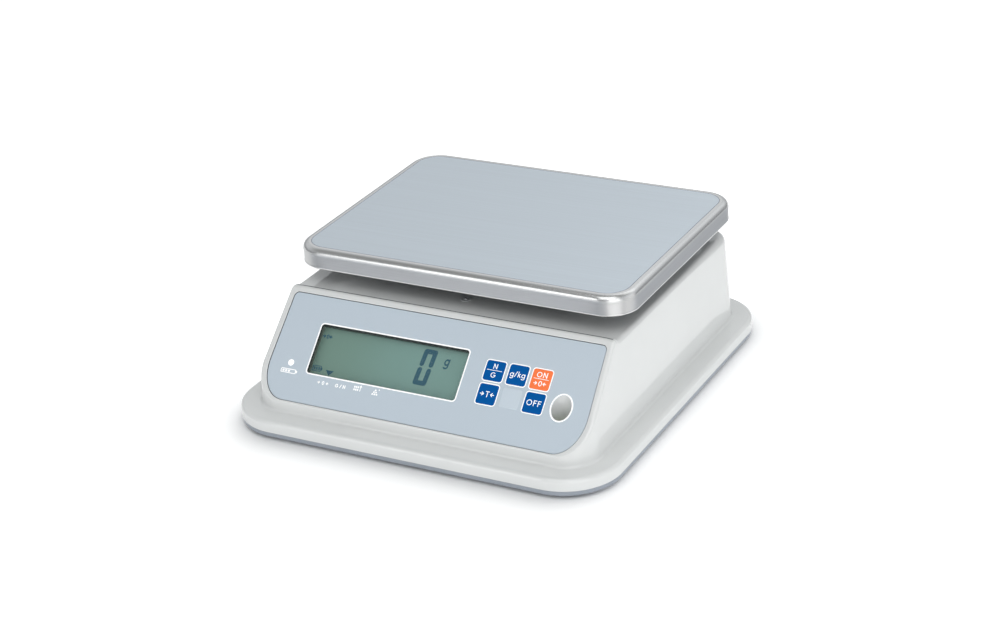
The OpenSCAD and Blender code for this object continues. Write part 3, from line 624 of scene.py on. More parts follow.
def build_housing():
    b = Build()
    n = len(QW)

    def ring_b(inset, z):
        return b.add([(*(QB[i] - inset * NB[i]), z) for i in range(n)])

    def ring_w(dz):
        return b.add([(*(QW[i] - dz[i][0] * NW[i]), dz[i][1]) for i in range(n)])

    rings = [ring_b(3.0, ZS), ring_b(0.75, ZS), ring_b(0.45, ZS)]
    rings += [ring_b(0.45 - 0.45 * math.sin(math.radians(a)), ZS + 0.45 - 0.45 * math.cos(math.radians(a))) for a in (30, 60, 90)]
    rings += [ring_b(0, z) for z in (6.3, 8.5, 10.2)]
    rings += [ring_b(2.7 - 2.7 * math.cos(math.radians(a)), 10.6 + 2.7 * math.sin(math.radians(a))) for a in range(0, 91, 9)]
    rings += [ring_b(3.1, ZF)]
    rc = 1.8
    dc = DRAFT * rc - rc * math.hypot(1, DRAFT)
    rings += [ring_w([(dc - 0.4, ZF)] * n)]
    a1 = math.atan2(-DRAFT, 1)
    for k in range(9):
        t = -math.pi / 2 + (a1 + math.pi / 2) * k / 8
        rings.append(ring_w([(dc + rc * math.cos(t), ZF + rc + rc * math.sin(t))] * n))
    low = np.array([dc + rc * math.cos(a1), ZF + rc + rc * math.sin(a1)])
    cuts = [slice_at(i) for i in range(n)]
    wall0 = len(rings) - 1
    for f in (0.05, 0.35, 0.65, 0.95):
        rings.append(ring_w([low + (c[0][0] - low) * f for c in cuts]))
    for k in range(11):
        rings.append(ring_w([c[0][k] for c in cuts]))
    rings.append(ring_w([c[1] for c in cuts]))
    rear = set(range(I_REAR, I_REAR + NF))
    for k in range(len(rings) - 1):
        inside = wall0 + 1 <= k < wall0 + 4
        b.strip(rings[k], rings[k + 1], skip=rear if inside else ())
    # rear wall with the socket pocket
    lo, hi = rings[wall0 + 1], rings[wall0 + 4]
    seg = list(range(I_REAR, I_REAR + NF + 1))
    edge = [lo[i] for i in seg] + [rings[wall0 + k][seg[-1]] for k in (2, 3)]
    edge += [hi[i] for i in reversed(seg)] + [rings[wall0 + k][seg[0]] for k in (3, 2)]

    def rear_y(z):
        return YW1 - DRAFT * (z - ZF)
    pk = [rounded(-67.2 - 12 - g, -67.2 + 12 + g, 20 - g, 40 + g, 2 + g, 5) for g in (1.0, 0.6)]
    pa = b.add([(x, rear_y(z), z) for x, z in pk[0]])
    pb = b.add([(x, rear_y(z), z) for x, z in pk[1]])
    b.fill([edge, pa], lambda p: (p[0], p[2]))
    b.strip(pa, pb)
    for a in (30, 60, 90):
        g = 0.6 - 0.6 * math.sin(math.radians(a))
        d = 0.6 - 0.6 * math.cos(math.radians(a))
        pc = b.add([(x, rear_y(z) - d, z) for x, z in rounded(-79.2 - g, -55.2 + g, 20 - g, 40 + g, 2 + g, 5)])
        b.strip(pb, pc)
        pb = pc
    pf = b.add([(x, 112.4, z) for x, z in rounded(-79.2, -55.2, 20, 40, 2, 5)])
    b.strip(pb, pf)
    b.fill([pf], lambda p: (p[0], p[2]))

    # top: sloped rim, ridge, deck
    cap = rings[-1]
    rows = []
    for y in ROWS:
        ir, il = cap[RIGHT_AT[round(y, 5)]], cap[LEFT_AT[round(y, 5)]]
        xb = b.v[ir][0]
        xs = [-xb + 1.2, -xb + 2.6, -xb + 4.2, -xb + 6.5]
        xs += [(-1 + 2 * k / 20) * (xb - 9) for k in range(21)]
        xs += [-x for x in xs[3::-1]]
        mid = []
        for x in xs:
            fade = FADE_END + (1 - FADE_END) * smooth(0, 6, xb - abs(x))
            mid.append((x, y, cap_z(y, fade)))
        rows.append([il] + b.add(mid) + [ir])
    # The groove behind the ridge is painted dark grey: painted shade.
    for y, r0, r1 in zip(ROWS, rows, rows[1:]):
        b.strip(r0, r1, 2 if y in SEAM_SHADE_ROWS else 0, closed=False)

    def to_uv(p):
        return (p[0], (p[1] - PY) / CT)
    j0, j1 = RIGHT_AT[round(ROWS[0], 5)], LEFT_AT[round(ROWS[0], 5)]
    loop = [cap[i] for i in list(range(j1, n)) + list(range(0, j0 + 1))] + rows[0][-2:0:-1]
    rims = []
    spec = [(0.8, 0.5), (0.65, 0.5)]
    spec += [(0.65 - 0.35 * math.sin(math.radians(a)), 0.15 + 0.35 * math.cos(math.radians(a))) for a in (18, 36, 54, 72, 90)]
    spec += [(0.3, -1.35), (0.25, -1.4), (-0.4, -1.4)]
    for g, w in spec:
        rims.append(b.add([panel(u, v, w) for u, v in overlay_loop(g)]))
    b.fill([loop, rims[0]], to_uv)
    # The moat round the overlay is painted dark grey below its rounding: painted shade.
    for k, (r0, r1) in enumerate(zip(rims, rims[1:])):
        b.strip(r0, r1, 2 if k >= 5 else 0)

    # floor under the overlay: window seat, lamp hole, level well
    def on(loop2, w):
        return b.add([panel(u, v, w) for u, v in loop2])
    seat = rounded(-83, 24.4, 17.8, 54.2, 0.6, 3)
    s0, s1 = on(seat, -1.4), on(seat, -1.7)
    win = rounded(*LCD, 1.6, 5)
    w0, w1 = on(win, -1.7), on(win, -4.0)
    lamp = ellipse(LED_U, LED_V, 2.1, 2.1, 28)
    l0, l1 = on(lamp, -1.4), on(lamp, -4.0)

    def well(r, w, k=44):
        out = []
        for i in range(k):
            t = 2 * math.pi * i / k
            x, y = WELL_X + (r + WELL_W) * math.cos(t), WELL_Y + r * math.sin(t)
            out.append((x, y, PZ + (w + ST * (y - PY)) / CT))
        return b.add(out)
    k0, k1, k2 = well(WELL_R + 0.8, -1.4), well(WELL_R + 0.8, -0.52), well(WELL_R, -0.52)

    def uvw(p):
        return (p[0], (p[1] - PY) * CT + (p[2] - PZ) * ST)
    b.fill([rims[-1], s0, l0, k0], uvw)
    # Painted shade: the window's seat and walls are near black, its left wall a little lighter.
    b.strip(s0, s1, mat=1)
    b.fill([s1, w0], uvw, mat=1)
    b.strip(w0, w1, mat=1, skip=range(15, 21))
    for i in range(15, 21):
        b.face((w0[i], w0[i + 1], w1[i + 1], w1[i]), 3)
    b.strip(l0, l1)
    b.strip(k0, k1)
    b.strip(k1, k2)
    kz = [b.add([(b.v[i][0], b.v[i][1], b.v[i][2] + (21 - b.v[i][2]) * f) for i in k2]) for f in (0.04, 0.4, 1.0)]
    for a, c in zip([k2] + kz, kz):
        b.strip(a, c)
    b.fill([kz[-1]], lambda p: (p[0], p[1]))

    # deck with the upstand round its opening
    j0, j1 = RIGHT_AT[round(ROWS[-1], 5)], LEFT_AT[round(ROWS[-1], 5)]
    loop = [cap[i] for i in range(j0, j1 + 1)] + rows[-1][1:-1]
    col = [(3.4, DECK), (3.0, DECK)]
    col += [(2 + 1.0 - 1.0 * math.sin(math.radians(a)), DECK + 1.0 - 1.0 * math.cos(math.radians(a))) for a in (30, 60, 90)]
    col += [(2, 74.2)] + [(2 - 0.8 + 0.8 * math.cos(math.radians(a)), 74.2 + 0.8 * math.sin(math.radians(a))) for a in (30, 60, 90)]
    col += [(0.4, 75), (0.1, 74.8), (0, 74.4), (0, 67.6)]
    cr = []
    for g, z in col:
        cr.append(b.add([(x, y, z) for x, y in rounded(33 - g, 70 + g, 9.73 - g, 49.73 + g, 0.8 + g, 5)]))
    b.fill([loop, cr[0]], lambda p: (p[0], p[1]))
    for r0, r1 in zip(cr, cr[1:]):
        b.strip(r0, r1)

    # inside of the shell
    zi = plane_z(Y_BACK, -4)
    inner = [ring_b(3.0, 10.3)]
    flo, top = [], []
    for i in range(n):
        d = 2.6 + DRAFT * (10.3 - ZF)
        flo.append((d, 10.3))
        d = 2.6
        for _ in range(8):
            y = QW[i][1] - NW[i][1] * d
            z = min(plane_z(y, -4), zi)
            d = 2.6 + DRAFT * (z - ZF)
        top.append((d, z))
    inner += [ring_w(flo), ring_w(top)]
    for r0, r1 in zip([rings[0]] + inner, inner):
        b.strip(r0, r1)
    it = inner[-1]
    j0, j1 = RIGHT_AT[round(Y_BACK, 5)], LEFT_AT[round(Y_BACK, 5)]
    lead = [it[i] for i in list(range(j1, n)) + list(range(0, j0 + 1))]
    ko = []
    for k in range(44):
        t = 2 * math.pi * k / 44
        x, y = WELL_X + (7.5 + WELL_W) * math.cos(t), WELL_Y + 7.5 * math.sin(t)
        ko.append((x, y, plane_z(y, -4)))
    ko = b.add(ko)
    kb = b.add([(b.v[i][0], b.v[i][1], 19) for i in ko])
    b.fill([lead, w1, l1, ko], uvw)
    b.strip(ko, kb)
    b.fill([kb], lambda p: (p[0], p[1]))
    back = [it[i] for i in range(j0, j1 + 1)]
    cb = b.add([(b.v[i][0], b.v[i][1], zi) for i in cr[-1]])
    b.strip(cr[-1], cb)
    b.fill([back, cb], lambda p: (p[0], p[1]))
    ob = b.make("housing_shell", [M["abs"], M["dark_wall"], M["seam_gap"], M["wall_side"]], 32)
    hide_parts("upper_housing")
    return ob


housing = build_housing()


# ----------------------------------------------------------------- base tray
def circle(x, y, r, n=32):
    return ellipse(x, y, r, r, n)


def build_tray():
    b = Build()
    n = len(QB)

    def ring(inset, z):
        return b.add([(*(QB[i] - (inset + 0.5) * NB[i]), z) for i in range(n)])
    rings = [ring(1.2, ZS), ring(0.75, ZS)]
    rings += [ring(0.45 - 0.45 * math.sin(math.radians(a)), ZS - 0.45 + 0.45 * math.cos(math.radians(a))) for a in (0, 30, 60, 90)]
    rings += [ring(0, 4.2), ring(0, 3.4)]
    rings += [ring(1.2 - 1.2 * math.cos(math.radians(a)), 3.4 - 1.2 * math.sin(math.radians(a))) for a in range(15, 91, 15)]
    rings += [ring(1.8, 2.2)]
    for r0, r1 in zip(rings, rings[1:]):
        b.strip(r0, r1)

    def put(loop, z):
        return b.add([(x, y, z) for x, y in loop])
    holes_top, holes_bot = [], []

    def recess(steps):
        ids = [put(lp, z) for lp, z in steps]
        for r0, r1 in zip(ids, ids[1:]):
            b.strip(r0, r1)
        return ids
    for x in (-96, 96):
        for y in (-98, 98):
            ids = recess([(circle(x, y, 11.9, 40), 2.2), (circle(x, y, 11.5, 40), 2.6), (circle(x, y, 11.5, 40), 7.5),
                          (circle(x, y, 4.5, 40), 7.5), (circle(x, y, 4.5, 40), 15), (circle(x, y, 13.5, 40), 15),
                          (circle(x, y, 13.5, 40), ZS)])
            holes_bot.append(ids[0]); holes_top.append(ids[-1])
    for x, y in ((-107.5, 0), (107.5, 0), (-45, -112), (45, -112), (-80, 112), (80, 112)):
        ids = recess([(circle(x, y, 3.9, 28), 2.2), (circle(x, y, 3.6, 28), 2.5), (circle(x, y, 3.6, 28), 4.0),
                      (circle(x, y, 1.7, 28), 4.0), (circle(x, y, 1.7, 28), ZS)])
        holes_bot.append(ids[0]); holes_top.append(ids[-1])
    for x in (-68, 68):
        for y in (PAN_Y - 12.5, PAN_Y + 12.5):
            ids = recess([(circle(x, y, 4.5, 28), 2.2), (circle(x, y, 4.2, 28), 2.5), (circle(x, y, 4.2, 28), 3.65),
                          (circle(x, y, 2.2, 28), 3.65), (circle(x, y, 2.2, 28), ZS)])
            holes_bot.append(ids[0]); holes_top.append(ids[-1])
    ids = recess([(rounded(-62.6, 62.6, 52.9, 114.1, 2.3, 5), 2.2), (rounded(-62.3, 62.3, 53.2, 113.8, 2, 5), 2.5),
                  (rounded(-62.3, 62.3, 53.2, 113.8, 2, 5), 4.05), (rounded(-51, 51, 56.5, 110.5, 1.5, 5), 4.05),
                  (rounded(-51, 51, 56.5, 110.5, 1.5, 5), 34)])
    holes_bot.append(ids[0])
    b.fill([ids[-1]], lambda p: (p[0], p[1]))
    bay = recess([(rounded(-53, 53, 54.5, 112.5, 2, 5), ZS), (rounded(-53, 53, 54.5, 112.5, 2, 5), 36)])
    holes_top.append(bay[0])
    b.fill([bay[-1]], lambda p: (p[0], p[1]))
    # shallow stiffening grooves moulded in the underside
    for y0, y1 in ((-84, -60), (-52, -28), (-20, 4)):
        g = recess([(rounded(-82, 82, y0, y1, 5, 6), 2.2), (rounded(-81.4, 81.4, y0 + 0.6, y1 - 0.6, 4.4, 6), 2.8)])
        holes_bot.append(g[0])
        b.fill([g[-1]], lambda p: (p[0], p[1]))
    b.fill([rings[-1]] + holes_bot, lambda p: (p[0], p[1]))
    b.fill([rings[0]] + holes_top, lambda p: (p[0], p[1]))
    ob = b.make("base_tray", [M["tray"]], 34)
    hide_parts("base_plate")
    return ob


tray = build_tray()


# -------------------------------------------------------------- weighing pan
def build_pan():
    b = Build()
    hx, hy, r, nc, ns = 115.3, 86.0, 19.5, 20, 30
    q, nn = [], []

    def side(x0, y0, x1, y1, nx, ny):
        for k in range(ns):
            q.append((x0 + (x1 - x0) * k / ns, y0 + (y1 - y0) * k / ns)); nn.append((nx, ny))

    def corner(x, y, a):
        for k in range(nc):
            t = math.radians(a + 90 * k / nc)
            q.append((x + r * math.cos(t), y + r * math.sin(t))); nn.append((math.cos(t), math.sin(t)))
    cx, cy = hx - r, hy - r
    side(-cx, -hy, cx, -hy, 0, -1); corner(cx, -cy, -90)
    side(hx, -cy, hx, cy, 1, 0); corner(cx, cy, 0)
    side(cx, hy, -cx, hy, 0, 1); corner(-cx, cy, 90)
    side(-hx, cy, -hx, -cy, -1, 0); corner(-cx, -cy, 180)
    q = np.array(q) + np.array([0, PAN_Y + 0.3])
    nn = np.array(nn)
    top, bot, e = 95.1, 82.2, 4.0

    def ring(inset, z):
        return b.add([(*(q[i] - inset * nn[i]), z) for i in range(len(q))])

    def skirt(inset, z):
        """The drawn corners lie a little inside the flat sides."""
        out = []
        for p, k in zip(q, nn):
            a = math.degrees(math.atan2(min(abs(k[0]), abs(k[1])), max(abs(k[0]), abs(k[1]))))
            out.append((*(p - (inset + 0.16 * smooth(1, 9, a)) * k), z))
        return b.add(out)
    # outside: rolled lower edge, skirt, rounded edge, fine groove painted dark as shade, flat top
    out = [(0.6 - 0.6 * math.cos(math.radians(a)), bot + 0.6 - 0.6 * math.sin(math.radians(a)), 1) for a in (90, 60, 30, 0)]
    out += [(0.0, bot + 0.9, 1), (0.05, bot + 1.25, 2), (0.06, bot + 1.7, 2), (0.06, top - e - 0.9, 2), (0.05, top - e - 0.5, 2)]
    out += [(0.0, top - e - 0.2, 2)]
    out += [(e - e * math.cos(math.radians(a)), top - e + e * math.sin(math.radians(a)), 2) for a in range(0, 91, 5)]
    out += [(4.6, top, 1), (5.45, top, 1), (5.62, top, 1), (5.72, top - 0.12, 3), (5.86, top - 0.12, 3), (5.96, top, 3), (6.2, top, 0)]
    ids = [((skirt if m == 2 and z < top - e - 0.3 else ring)(d, z), m) for d, z, m in out]
    for (r0, _), (r1, m) in zip(ids, ids[1:]):
        b.strip(r0, r1, m)
    b.fill([ids[-1][0]], lambda p: (p[0], p[1]), 0)
    # inside: sheet 1.2 mm thick
    inn = [(0.6 + 0.6 * math.cos(math.radians(a)), bot + 0.6 - 0.6 * math.sin(math.radians(a))) for a in (60, 30, 0)]
    inn += [(1.2, top - e)]
    inn += [(1.2 + 2.8 - 2.8 * math.cos(math.radians(a)), top - e + 2.8 * math.sin(math.radians(a))) for a in range(10, 91, 10)]
    inn += [(5.4, 93.9)]
    iid = [ids[0][0]] + [ring(d, z) for d, z in inn]
    for r0, r1 in zip(iid, iid[1:]):
        b.strip(r0, r1, 4)
    # locating rings for the cushions stand on the underside
    holes = []
    for x in (-88, 88):
        for y in (PAN_Y - 62, PAN_Y + 62):
            c = []
            for rr, z in ((9.2, 93.9), (8.8, 93.5), (8.8, 90.2), (8.5, 89.9), (7.9, 89.9), (7.6, 90.2), (7.6, 93.9)):
                c.append(b.add([(px, py, z) for px, py in circle(x, y, rr, 36)]))
            for r0, r1 in zip(c, c[1:]):
                b.strip(r0, r1, 4)
            holes.append(c[0])
            b.fill([c[-1]], lambda p: (p[0], p[1]), 4)
    b.fill([iid[-1]] + holes, lambda p: (p[0], p[1]), 4)
    ob = b.make("pan_sheet", [M["steel_top"], M["steel_rim"], M["steel_skirt"], M["steel_seam"], M["steel_under"]], 34, "pan")
    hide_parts("weighing_pan")
    return ob


pan = build_pan()


# --------------------------------------------------------------- deck stops
def build_stops():
    b = Build()
    for y in (-41, 105):
        lv = [(1.45, 66.6, 0), (1.45, DECK - 0.1, 0), (3.2, DECK - 0.1, 0), (3.2, DECK + 0.45, 0), (3.05, DECK + 0.6, 0),
              (2.3, DECK + 0.6, 0), (2.1, DECK + 0.4, 0), (1.15, DECK + 0.4, 0), (1.1, DECK + 0.75, 1), (0.85, DECK + 1.1, 1),
              (0.45, DECK + 1.3, 1)]
        ids = [(b.add([(px, py, z) for px, py in circle(0, y, r, 32)]), m) for r, z, m in lv]
        for (r0, _), (r1, m) in zip(ids, ids[1:]):
            b.strip(r0, r1, m)
        for k in (0, -1):
            b.fill([ids[k][0]], lambda p: (p[0], p[1]), ids[k][1])
    ob = b.make("deck_stop_buttons", [M["stop_cap"], M["spring"]], 40)
    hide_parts("deck_stops")


build_stops()


# ------------------------------------------------------------- flat printing
def area(loop):
    return 0.5 * sum(x0 * y1 - x1 * y0 for (x0, y0), (x1, y1) in zip(loop, loop[1:] + loop[:1]))


def stroke(x0, y0, x1, y1, w):
    """A straight stroke with square ends, counter-clockwise."""
    dx, dy = x1 - x0, y1 - y0
    k = w / 2 / math.hypot(dx, dy)
    nx, ny = -dy * k, dx * k
    lp = [(x0 + nx, y0 + ny), (x0 - nx, y0 - ny), (x1 - nx, y1 - ny), (x1 + nx, y1 + ny)]
    return lp if area(lp) > 0 else lp[::-1]


def bent(pts, w):
    return [stroke(*a, *c, w) for a, c in zip(pts, pts[1:])] + [ellipse(x, y, w / 2, w / 2, 10) for x, y in pts[1:-1]]


def donut(cx, cy, rx, ry, w, n=36):
    return [ellipse(cx, cy, rx, ry, n), ellipse(cx, cy, rx - w, ry - w, n)[::-1]]


def sweep_arc(cx, cy, rx, ry, a0, a1, w, n=14):
    o, i = arc(cx, cy, rx, ry, a0, a1, n), arc(cx, cy, rx - w, ry - w, a0, a1, n)
    lp = o + i[::-1]
    return [lp if area(lp) > 0 else lp[::-1]]


def union_shape(loops):
    """Triangles of the union of loops; a clockwise loop cuts a hole."""
    co, ed = [], []
    for lp in loops:
        s, n = len(co), len(lp)
        co += [Vector(p) for p in lp]
        ed += [(s + k, s + (k + 1) % n) for k in range(n)]
    vo, _, fo, _, _, _ = delaunay_2d_cdt(co, ed, [], 0, 1e-5)
    keep = []
    for t in fo:
        c = sum((vo[k] for k in t), Vector((0, 0))) / len(t)
        wind = 0
        for a, d in ed:
            p, q = co[a], co[d]
            if (p[1] > c[1]) != (q[1] > c[1]):
                x = p[0] + (c[1] - p[1]) / (q[1] - p[1]) * (q[0] - p[0])
                if x > c[0]:
                    wind += 1 if q[1] > p[1] else -1
        if wind > 0:
            keep.append(tuple(t))
    return [(p[0], p[1]) for p in vo], keep


def prism(b, loops, w0, w1, mat=0, place=panel):
    """A flat shape with thickness from w0 to w1 on the panel."""
    pts, tris = union_shape(loops)
    used = sorted({k for t in tris for k in t})
    new = {k: i for i, k in enumerate(used)}
    lo = b.add([place(*pts[k], w0) for k in used])
    hi = b.add([place(*pts[k], w1) for k in used])
    count = {}
    for t in tris:
        b.face([hi[new[k]] for k in t], mat)
        b.face([lo[new[k]] for k in reversed(t)], mat)
        for a, c in zip(t, t[1:] + t[:1]):
            count[frozenset((a, c))] = count.get(frozenset((a, c)), 0) + 1
    for t in tris:
        for a, c in zip(t, t[1:] + t[:1]):
            if count[frozenset((a, c))] == 1:
                b.face((lo[new[a]], lo[new[c]], hi[new[c]], hi[new[a]]), mat)


def sheet_with_holes(b, outer, holes, w_top, w_bot, round_=0.12, mat=0, cut=None):
    """A film with a softened upper edge all round and at its holes; cut colours the edge of the first hole."""
    def rim(loop_at, sign):
        side = cut if cut is not None and holes and loop_at is holes[0] else mat
        a = b.add([panel(u, v, w_top) for u, v in loop_at(-sign * (round_ + 0.25))])
        c = b.add([panel(u, v, w_top) for u, v in loop_at(-sign * round_)])
        d = b.add([panel(u, v, w_top - round_ * 0.3) for u, v in loop_at(-sign * round_ * 0.3)])
        e = b.add([panel(u, v, w_top - round_) for u, v in loop_at(0)])
        f = b.add([panel(u, v, w_bot) for u, v in loop_at(0)])
        for r0, r1 in zip((a, c, d, e), (c, d, e, f)):
            b.strip(r0, r1, side if r0 is e else mat)
        return a, f
    rims = [rim(outer, 1)] + [rim(h, -1) for h in holes]

    def uvw(p):
        return (p[0], (p[1] - PY) * CT + (p[2] - PZ) * ST)
    b.fill([r[0] for r in rims], uvw, mat)
    b.fill([r[1] for r in rims], uvw, mat)


def build_overlay():
    b = Build()
    key_at = [(0, 0), (1, 0), (2, 0), (0, 1), (2, 1)]

    def key_hole(i, j):
        u, v = KEY_COLS[i], KEY_ROWS[j]
        return lambda g: rounded(u - 6.35 - g, u + 6.35 + g, v - 6.35 - g, v + 6.35 + g, 1.5 + g, 6)
    holes = [lambda g: rounded(LCD[0] - g, LCD[1] + g, LCD[2] - g, LCD[3] + g, 1.8 + g, 6),
             lambda g: ellipse(LED_U, LED_V, 2.1 + g, 2.1 + g, 28),
             lambda g: ellipse(WELL_X, 28, WELL_R + WELL_W + g, WELL_R / CT + g, 44)]
    holes += [key_hole(i, j) for i, j in key_at]
    # The cut edge of the window hole is painted near black: painted shade.
    sheet_with_holes(b, lambda g: overlay_loop(g - 0.03), holes, 0.0, -0.5, cut=1)
    ob = b.make("panel_overlay", [M["overlay"], M["dark_wall"]], 40)
    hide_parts("front_overlay")
    return ob


overlay = build_overlay()


def blank_place():
    """The spare key place: a faint pad pressed up in the film."""
    b = Build()
    u, v = KEY_COLS[1], KEY_ROWS[1]
    lv = [(6.2, 0.0), (6.05, 0.08), (5.75, 0.16), (5.4, 0.16)]
    ids = [b.add([panel(x, y, w) for x, y in rounded(u - h, u + h, v - h, v + h, 1.2, 5)]) for h, w in lv]
    for r0, r1 in zip(ids, ids[1:]):
        b.strip(r0, r1)

    def uvw(p):
        return (p[0], (p[1] - PY) * CT + (p[2] - PZ) * ST)
    b.fill([ids[-1]], uvw)
    b.fill([ids[0]], uvw)
    ob = b.make("spare_key_place", [M["overlay_pale"]], 40)


blank_place()


# glyphs, as strokes in a box one unit high, given as functions of place and size
def glyph(ch, x, y, h, w):
    """Loops of one character with its lower left corner at (x, y), height h and stroke w; returns loops and advance."""
    s = h
    if ch == "O":
        return donut(x + 0.5 * s, y + 0.5 * s, 0.5 * s, 0.5 * s, w), 1.12 * s
    if ch == "0":
        return donut(x + 0.34 * s, y + 0.5 * s, 0.34 * s, 0.5 * s, w), 0.8 * s
    if ch == "N":
        a, c = x + w / 2, x + 0.78 * s - w / 2
        return [stroke(a, y, a, y + s, w), stroke(c, y, c, y + s, w), stroke(a, y + s - w * 0.3, c, y + w * 0.3, w)], 0.92 * s
    if ch == "F":
        a = x + w / 2
        return [stroke(a, y, a, y + s, w), stroke(x, y + s - w / 2, x + 0.56 * s, y + s - w / 2, w),
                stroke(x, y + 0.53 * s, x + 0.5 * s, y + 0.53 * s, w)], 0.68 * s
    if ch == "T":
        return [stroke(x, y + s - w / 2, x + 0.66 * s, y + s - w / 2, w), stroke(x + 0.33 * s, y, x + 0.33 * s, y + s, w)], 0.8 * s
    if ch == "G":
        out = sweep_arc(x + 0.5 * s, y + 0.5 * s, 0.5 * s, 0.5 * s, 42, 352, w, 30)
        return out + [stroke(x + 0.52 * s, y + 0.47 * s, x + s, y + 0.47 * s, w)], 1.12 * s
    if ch == "k":
        a = x + w / 2
        return [stroke(a, y, a, y + s, w), stroke(a, y + 0.26 * s, x + 0.46 * s, y + 0.66 * s, w),
                stroke(x + 0.2 * s, y + 0.36 * s, x + 0.5 * s, y, w)], 0.56 * s
    if ch == "g":
        r = 0.34 * s
        out = donut(x + r, y + r, r, r, w) + [stroke(x + 2 * r - w / 2, y - 0.12 * s, x + 2 * r - w / 2, y + 0.68 * s, w)]
        return out + sweep_arc(x + r, y - 0.08 * s, r, 0.26 * s, 200, 360, w), 0.8 * s
    if ch == ">":
        return [stroke(x, y + 0.5 * s, x + 0.62 * s, y + 0.5 * s, w), stroke(x + 0.3 * s, y + 0.8 * s, x + 0.64 * s, y + 0.5 * s, w),
                stroke(x + 0.3 * s, y + 0.2 * s, x + 0.64 * s, y + 0.5 * s, w)], 0.86 * s
    if ch == "<":
        return [stroke(x, y + 0.5 * s, x + 0.62 * s, y + 0.5 * s, w), stroke(x + 0.32 * s, y + 0.8 * s, x - 0.02 * s, y + 0.5 * s, w),
                stroke(x + 0.32 * s, y + 0.2 * s, x - 0.02 * s, y + 0.5 * s, w)], 0.86 * s
    if ch == "/":
        return [stroke(x, y, x + 0.36 * s, y + s, w)], 0.5 * s
    return [], 0.5 * s


def legend(text, cx, cy, h, w, gap=0.0):
    """Loops of a short legend centred on (cx, cy)."""
    x, parts = 0.0, []
    for ch in text:
        lp, adv = glyph(ch, x, 0, h, w)
        parts.append(lp)
        x += adv + gap
    pts = [p for lp in parts for loop in lp for p in loop]
    x0, x1 = min(p[0] for p in pts), max(p[0] for p in pts)
    y0, y1 = min(p[1] for p in pts), max(p[1] for p in pts)
    dx, dy = cx - (x0 + x1) / 2, cy - (y0 + y1) / 2
    return [[[(px + dx, py + dy) for px, py in loop] for loop in lp] for lp in parts]


def build_print():
    """White printing on the overlay: frames round the window, keys and level, and small marks."""
    b = Build()
    t0, t1 = -0.02, 0.03
    prism(b, [rounded(-82.4, 23.2, 19.0, 53.2, 2.6, 7), rounded(LCD[0], LCD[1], LCD[2], LCD[3], 1.8, 7)[::-1]], -0.12, t1)
    for i, j in [(0, 0), (1, 0), (2, 0), (0, 1), (2, 1)]:
        u, v = KEY_COLS[i], KEY_ROWS[j]
        prism(b, [rounded(u - 6.98, u + 6.98, v - 7.0, v + 7.0, 2.1, 8), rounded(u - 6.35, u + 6.35, v - 6.35, v + 6.35, 1.5, 6)[::-1]], -0.12, t1)
    prism(b, [ellipse(WELL_X, 28, 7.2, 8.9, 52), ellipse(WELL_X, 28, WELL_R + WELL_W, WELL_R / CT, 52)[::-1]], -0.12, t1)
    # battery mark under the lamp
    x, y = -94.0, 18.7
    prism(b, [rounded(x - 5.6, x + 5.2, y - 1.45, y + 1.45, 0.5, 3), rounded(x - 5.1, x + 4.7, y - 0.95, y + 0.95, 0.2, 3)[::-1]], t0, t1)
    prism(b, [rounded(x + 5.2, x + 6.1, y - 0.75, y + 0.75, 0.15, 3)], t0, t1)
    for k in range(3):
        prism(b, [rounded(x - 4.5 + k * 2.0, x - 3.1 + k * 2.0, y - 0.65, y + 0.65, 0.1, 2)], t0, t1)
    # state marks below the window
    x, y = -67.8, 15.2
    for lp in legend(">0<", x, y, 2.5, 0.5, 1.1):
        prism(b, lp, t0, t1)
    for lp in legend("G/N", -55.4, y, 2.3, 0.5, 0.9):
        prism(b, lp, t0, t1)
    x, y = -43.7, 16.4
    for i in range(3):
        for j in range(2):
            prism(b, [rounded(x - 2.2 + i * 1.25, x - 1.3 + i * 1.25, y - 1.9 + j * 1.7, y - 0.7 + j * 1.7, 0.12, 2)], t0, t1)
    prism(b, [stroke(x + 2.4, y - 2.0, x + 2.4, y + 1.2, 0.5), [(x + 1.5, y + 0.6), (x + 3.3, y + 0.6), (x + 2.4, y + 2.0)]], t0, t1)
    x, y = -30.8, 15.9
    for i, row in enumerate((3, 2, 1)):
        for k in range(row):
            prism(b, [circle(x + (k - (row - 1) / 2) * 1.5, y - 1.5 + i * 1.3, 0.58, 14)], t0, t1)
    prism(b, [circle(x + 2.3, y + 1.7, 0.4, 12)], t0, t1)
    ob = b.make("panel_print", [M["ink_white"]], 40)


build_print()


# -------------------------------------------------------------------- keys
def build_key(name, i, j, mat, lines):
    """A key pad with a softened edge and a slightly crowned face, and its legend."""
    u, v = KEY_COLS[i], KEY_ROWS[j]
    b = Build()
    lv = [(6.25, -0.55, 1.4), (6.25, 0.05, 1.4), (6.19, 0.13, 1.36), (6.05, 0.18, 1.3), (5.6, 0.2, 1.1), (4.8, 0.215, 0.9),
          (3.0, 0.235, 0.8), (1.5, 0.245, 0.6)]
    ids = [b.add([panel(x, y, w) for x, y in rounded(u - h, u + h, v - h, v + h, min(r, h * 0.5), 5)]) for h, w, r in lv]
    for r0, r1 in zip(ids, ids[1:]):
        b.strip(r0, r1)

    def uvw(p):
        return (p[0], (p[1] - PY) * CT + (p[2] - PZ) * ST)
    b.fill([ids[-1]], uvw)
    b.fill([ids[0]], uvw)
    body = name + "_body"
    pad = b.make(name + "_pad", [mat], 50, body)
    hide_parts(name)
    p = Build()
    for text, du, dv, h, w, gap in lines:
        if text == "-":
            prism(p, [stroke(u + du - 4.9, v + dv, u + du + 4.9, v + dv, w)], 0.12, 0.265)
        else:
            for lp in legend(text, u + du, v + dv, h, w, gap):
                prism(p, lp, 0.12, 0.265)
    leg = p.make(name + "_legend", [M["ink_white"]], 40, body)


